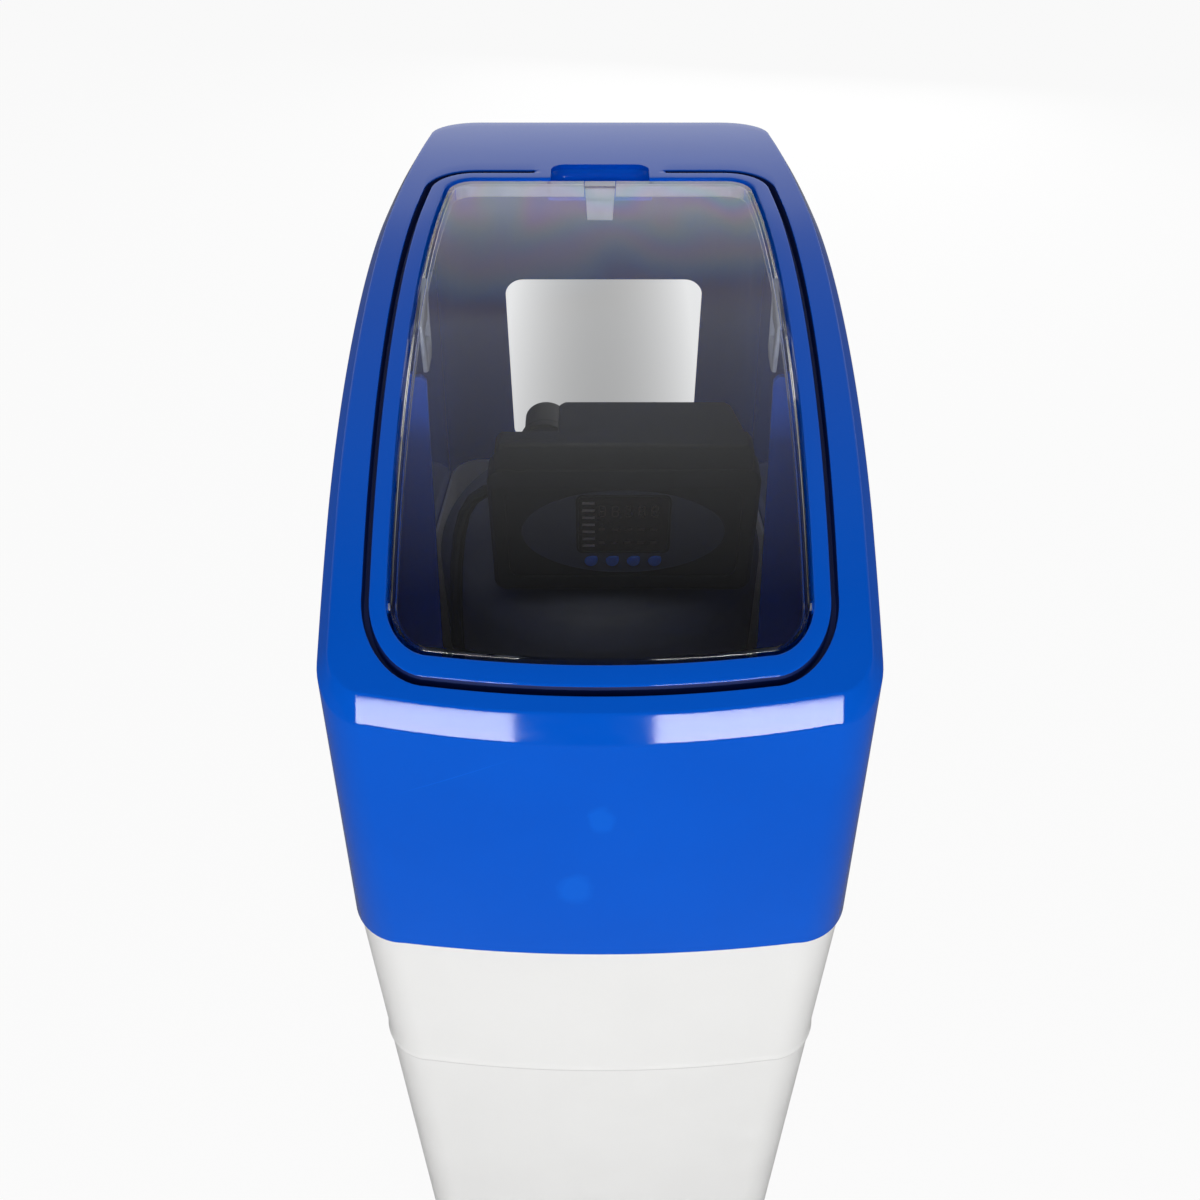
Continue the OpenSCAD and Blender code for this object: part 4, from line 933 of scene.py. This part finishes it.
def panel_frame():
    outer = cover_outline(0)
    inner = rounded_plate(HEAD_X - PANEL_W / 2, HEAD_X + PANEL_W / 2, PANEL_Z - PANEL_H / 2,
                          PANEL_Z + PANEL_H / 2, 8, 10)
    face = outer.copy()
    face[:, 0] = HEAD_X + (outer[:, 0] - HEAD_X) * 0.965
    face[:, 1] = np.clip(outer[:, 1], HEAD_Z + 4, FACE_TOP - 12)
    section = [(facing(outer, HEAD_Y + 4), 0), (facing(outer, HEAD_Y + 2.6), 0.9),
               (facing(face, HEAD_Y), 0.9), (facing(inner, HEAD_Y), 0.5), (facing(inner, RECESS_Y), 0.4)]
    loops = rounded_stack(*zip(*section), 4)
    return stack_mesh("front_panel_frame", loops, caps="flat")


def oval_film():
    angles = np.linspace(0, 2 * math.pi, 121)[:-1]

    def ring(scale, y):
        return np.column_stack([HEAD_X + OVAL_RX * scale * np.cos(angles), np.full(120, y),
                                PANEL_Z + 1 + OVAL_RZ * scale * np.sin(angles)])

    face = RECESS_Y - 0.35
    loops = rounded_stack([ring(1, RECESS_Y), ring(1, face), ring(0.98, face)], [0, 0.2, 0], 3)
    return stack_mesh("panel_oval", loops, caps="flat")


def screen_loop(grow, proud):
    """The display's outline grown by grow, standing proud of the recess."""
    half_w, half_h = SCREEN_W / 2 + grow, SCREEN_H / 2 + grow
    low, high = SCREEN_Z - half_h, SCREEN_Z + half_h
    outline = rounded_plate(HEAD_X - half_w, HEAD_X + half_w, low, high, 3.5 + grow, 8)
    return facing(outline, RECESS_Y - proud)


def display():
    """The display's raised bezel and the smoked window in it."""
    bezel = [screen_loop(1.4, 0.3), screen_loop(1.4, 1.0), screen_loop(0, 1.0), screen_loop(-0.4, 0.5)]
    frame_piece = stack_mesh("display_bezel", rounded_stack(bezel, [0, 0.3, 0.3, 0], 3), caps="flat")
    glass = [screen_loop(-0.5, 0.5), screen_loop(-0.5, 0.75), screen_loop(-1.2, 0.8)]
    window = stack_mesh("display_glass", rounded_stack(glass, [0, 0.2, 0], 3), caps="flat")
    return frame_piece, window


finish_piece(panel_frame(), "housing", panel_black, "panel_slate", "front_panel")
finish_piece(oval_film(), "housing", slate_film, "panel_slate")
bezel_piece, glass_piece = display()
finish_piece(bezel_piece, "housing", panel_black, "panel_slate")
finish_piece(glass_piece, "housing", smoked_acrylic, "display_smoke", "display_window")

# %% Unlit segments
bar_paint = moulded("unlit_bar_segments", "#A59A93", "#AEA39C", 0.4, 2, 0.02)
digit_paint = moulded("unlit_digit_segments", "#463833", "#4C3E36", 0.3, 2, 0.02)
SEGMENT_Y = RECESS_Y - 0.86


def segment_sheet(name, boxes, paint):
    """Many small raised rectangles as one piece: each is (x0, x1, z0, z1)."""
    points, faces = [], []
    for x0, x1, z0, z1 in boxes:
        base = len(points)
        corners = ((x0, z0), (x1, z0), (x1, z1), (x0, z1))
        points += [(x, y, z) for y in (SEGMENT_Y, SEGMENT_Y + 0.1) for x, z in corners]
        faces += [tuple(base + c for c in f) for f in
                  ((0, 1, 2, 3), (7, 6, 5, 4), (0, 4, 5, 1), (1, 5, 6, 2), (2, 6, 7, 3), (3, 7, 4, 0))]
    piece = make_mesh(name, points, faces)
    face_outwards(piece)
    return finish_piece(piece, "housing", paint, "display_smoke")


bar_x = HEAD_X - SCREEN_W / 2 + 3
segment_sheet("level_bars", [(bar_x, bar_x + 8.4, SCREEN_Z + 19 - 6.3 * k - 1, SCREEN_Z + 19 - 6.3 * k + 1)
                             for k in range(7)], bar_paint)


def seven_segments(x, z, w, h, t):
    """The seven bars of one digit, w wide and h tall, each t thick."""
    right, middle, gap = x + w - t, z + h / 2, 0.2
    across = [(x + t, right, low, low + t) for low in (z + h - t, middle - t / 2, z)]
    upper = [(left, left + t, middle + gap, z + h - t) for left in (x, right)]
    lower = [(left, left + t, z + t, middle - gap) for left in (x, right)]
    return across + upper + lower


DIGITS, DIGIT_PITCH = 5, 9
digits = []
for k in range(DIGITS):
    digits += seven_segments(HEAD_X - 17 + DIGIT_PITCH * k, SCREEN_Z + 7, 5, 10, 1)
for row in (SCREEN_Z - 4, SCREEN_Z - 16):
    for k in range(DIGITS):
        left = HEAD_X - 17 + DIGIT_PITCH * k
        digits.append((left, left + 4.5, row - 1.2, row + 1.2))
segment_sheet("ghost_digits", digits, digit_paint)

# %% Keys
def leaf_outline(size):
    """A round key with one drawn-out corner at the upper right."""
    points = []
    for a in range(0, 360, 10):
        off = abs((a - 45 + 180) % 360 - 180)
        reach = size * (1 + 0.32 * max(0, 1 - off / 55) ** 2)
        points.append((reach * math.cos(math.radians(a)), reach * math.sin(math.radians(a))))
    return np.array(points)


KEY_Z = HEAD_Z + 29.5
for k in range(4):
    key_low, key_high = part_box(f"key_{k + 1}")
    key_x = (key_low.x + key_high.x) / 2 / MM
    front = key_low.y / MM
    section = ((4.6, HEAD_Y + 4), (4.6, front + 0.9), (4.0, front + 0.25), (2.2, front + 0.02))
    loops = [facing(leaf_outline(size) + (key_x, KEY_Z), y) for size, y in section]
    key = stack_mesh(f"key_cap_{k + 1}", rounded_stack(loops, [0, 0.5, 0.8, 0], 4), caps="flat")
    finish_piece(key, f"key_{k + 1}", key_resin, "key_blue", f"key_{k + 1}")

# %% [markdown]
# ## The resin tank
# A lathe profile gives the tank its domed ends. The winding stops short of the neck, where the moulded
# liner shows as a ring, so the profile has a small step there.

# %% Tank
tank_low, tank_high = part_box("resin_tank")
TANK_R = (tank_high.x - tank_low.x) / 2 / MM
TANK_Y = (tank_low.y + tank_high.y) / 2 / MM
TANK_TOP, TANK_Z0 = tank_high.z / MM, tank_low.z / MM
NECK_R = 42


def lathe(name, profile, x, y, segments=120):
    """Turns a profile of (radius, z) about an upright axis."""
    angles = np.linspace(0, 2 * math.pi, segments + 1)[:-1]
    loops = [np.column_stack([x + r * np.cos(angles), y + r * np.sin(angles), np.full(segments, float(z))])
             for r, z in profile]
    return stack_mesh(name, loops, caps="flat")


def tank_profile():
    shoulder = TANK_TOP - 55
    r0 = TANK_R
    points = [(60, TANK_Z0)]
    points += [(60 + (r0 - 60) * math.cos(math.radians(a)), TANK_Z0 + 46 + 45 * math.sin(math.radians(a)))
               for a in range(-80, 1, 8)]
    points += [(r0, shoulder - 260), (r0, shoulder - 120)]
    for a in range(0, 78, 4):
        reach = NECK_R + (r0 - NECK_R) * math.cos(math.radians(a))
        height = shoulder + 40 * math.sin(math.radians(a))
        points.append((reach, height) if a < 34 else (reach - 1.2, height - 1.2))
    points += [(NECK_R + 2, shoulder + 40), (NECK_R, shoulder + 43), (NECK_R, TANK_TOP - 0.1)]
    return points


tank = lathe("tank_shell", tank_profile(), 0, TANK_Y)
finish_piece(tank, "housing", glass_fibre, "tank_grey", "resin_tank")
print(f"tank {2 * TANK_R:.0f} mm across, its neck ends at {TANK_TOP:.0f} mm")

# %% [markdown]
# ## The pieces that keep their engineering shape
# Pipe stubs, gears, discs, screws and the brine well are right as they are, so they only get a finish.

# %% Finishes for the engineering pieces
FINISHES = {
    black_nylon: ["valve_body", "injector_cover", "drain_fitting", "brine_fitting", "brine_tube",
                  "power_socket", "overflow_elbow", "overflow_nut", "tank_boot", "pipe_collars"],
    zinc_steel: ["hood_screws", "cover_screws", "injector_screws", "motor"],
    ivory_acetal: ["motor_pinion", "drive_gear", "flow_turbine"],
    alumina: ["moving_disc"],
    grey_ceramic: ["fixed_disc"],
    rubber: ["neck_ring", "pipe_seals", "overflow_gasket"],
    white_pvc: ["riser_tube", "top_basket", "bottom_basket", "brine_well", "brine_well_cap", "safety_valve",
                "float_rod", "safety_float"],
    circuit_lacquer: ["circuit_board"],
    wet_resin: ["resin_bed"],
    blue_abs: ["lid_pivot_sockets"],
    frosted_lid: ["lid_pivot_pins"],
}
for finish, names in FINISHES.items():
    for name in names:
        nodes[name].data.materials.clear()
        nodes[name].data.materials.append(finish)

# %% [markdown]
# ## Floor, light and camera
# The floor and the surroundings look white to the camera, so the softener stands free, but only a plain level
# of light reaches it. Gloss shows a graded ceiling, bright at the back and dark in front: a clear lid then
# hazes over towards its rear edge and stays clear over the valve. Gloss also shows a dim floor, which keeps
# the blue deep. Seen through the lid and the rear window the floor is a little greyer in the middle. Two soft
# boxes in front give the front chamfer its pair of bright blocks, and overhead and rear panels do the rest.
# Those two don't show in gloss or through the lid.

# %% Floor and world
def pale_floor():
    material, tree, output, place = new_material("pale_floor")
    base = add(tree, "ShaderNodeBsdfDiffuse", {}, {"Color": linear("#F4F4F4")})
    glow = add(tree, "ShaderNodeEmission", {}, {"Color": (1, 1, 1, 1), "Strength": 1.0})
    ray = add(tree, "ShaderNodeLightPath")
    seen = add(tree, "ShaderNodeMath", {"operation": "MAXIMUM"},
               {0: ray.outputs["Is Camera Ray"], 1: ray.outputs["Is Glossy Ray"]})
    share = add(tree, "ShaderNodeMath", {"operation": "MULTIPLY"}, {0: seen.outputs[0], 1: 0.92})
    side = add(tree, "ShaderNodeSeparateXYZ", {}, {0: place}).outputs["X"]
    across = add(tree, "ShaderNodeMath", {"operation": "MULTIPLY"}, {0: side, 1: side}).outputs[0]
    mirrored = spread(tree, ray.outputs["Is Glossy Ray"], 0, 1, 1, 0.12)
    level = add(tree, "ShaderNodeMix", {"data_type": "FLOAT"}, {
        "Factor": ray.outputs["Is Transmission Ray"], "A": mirrored,
        "B": spread(tree, across, 0.0, 0.045, 0.4, 0.85)})
    tree.links.new(level.outputs[0], glow.inputs["Strength"])
    mix = add(tree, "ShaderNodeMixShader", {}, {0: share.outputs[0], 1: base.outputs[0], 2: glow.outputs[0]})
    tree.links.new(mix.outputs[0], output.inputs["Surface"])
    return material


FLOOR = 9000
floor = make_mesh("floor", [(-FLOOR, -FLOOR, 0), (FLOOR, -FLOOR, 0), (FLOOR, FLOOR, 0), (-FLOOR, FLOOR, 0)],
                  [(0, 1, 2, 3)])
floor.location.z = -0.0005
floor.data.materials.append(pale_floor())

scene = bpy.context.scene
scene.world = bpy.data.worlds.new("studio")
scene.world.use_nodes = True
sky = scene.world.node_tree
sky.nodes.clear()
ray = add(sky, "ShaderNodeLightPath")
seen = ray.outputs["Is Camera Ray"]
for bounced in ("Is Glossy Ray", "Is Transmission Ray"):
    seen = add(sky, "ShaderNodeMath", {"operation": "MAXIMUM"}, {0: seen, 1: ray.outputs[bounced]}).outputs[0]
lighting = add(sky, "ShaderNodeBackground", {}, {"Color": linear("#F6F5F4"), "Strength": 0.38})
direction = add(sky, "ShaderNodeTexCoord").outputs["Generated"]
depth = add(sky, "ShaderNodeSeparateXYZ", {}, {0: direction}).outputs["Y"]
ceiling = spread(sky, depth, -0.4, 0.8, 0.06, 1.0)
clear_view = add(sky, "ShaderNodeMath", {"operation": "MAXIMUM"},
                 {0: ceiling, 1: ray.outputs["Is Camera Ray"]})
backdrop = add(sky, "ShaderNodeBackground", {}, {"Color": (1, 1, 1, 1), "Strength": clear_view.outputs[0]})
both = add(sky, "ShaderNodeMixShader", {}, {0: seen, 1: lighting.outputs[0], 2: backdrop.outputs[0]})
add(sky, "ShaderNodeOutputWorld", {}, {"Surface": both.outputs[0]})

# %% Lamps
def soft_box(name, place, target, width, height, power):
    """A rectangular lamp at place that faces target, both in metres."""
    lamp = bpy.data.lights.new(name, "AREA")
    lamp.shape = "RECTANGLE"
    lamp.size, lamp.size_y, lamp.energy = width, height, power
    thing = bpy.data.objects.new(name, lamp)
    scene.collection.objects.link(thing)
    thing.location = place
    thing.rotation_euler = (Vector(target) - Vector(place)).to_track_quat("-Z", "Y").to_euler()
    return thing


soft_box("soft_box_left", (-0.735, -2.9, 0.80), (0, 0, 0.9), 0.73, 0.38, 19.5)
soft_box("soft_box_right", (0.64, -2.9, 0.80), (0, 0, 0.9), 0.81, 0.38, 23.5)
overhead = soft_box("overhead_panel", (0, -0.3, 3.4), (0, 0, 1.0), 2.2, 2.2, 9)
rear = soft_box("rear_fill", (0.5, 3.2, 1.1), (0, 0, 0.6), 1.8, 1.8, 26)
for lamp in (overhead, rear):
    lamp.visible_glossy = False
    lamp.visible_transmission = False

# %% Camera
camera_data = bpy.data.cameras.new("camera")
camera_data.sensor_width = 36
camera_data.lens = 36
camera = bpy.data.objects.new("camera", camera_data)
scene.collection.objects.link(camera)
camera.location = (0.0, -0.637, 1.484)
camera.rotation_euler = (math.radians(45.8), 0, 0)
scene.camera = camera
scene.view_settings.view_transform = "Standard"
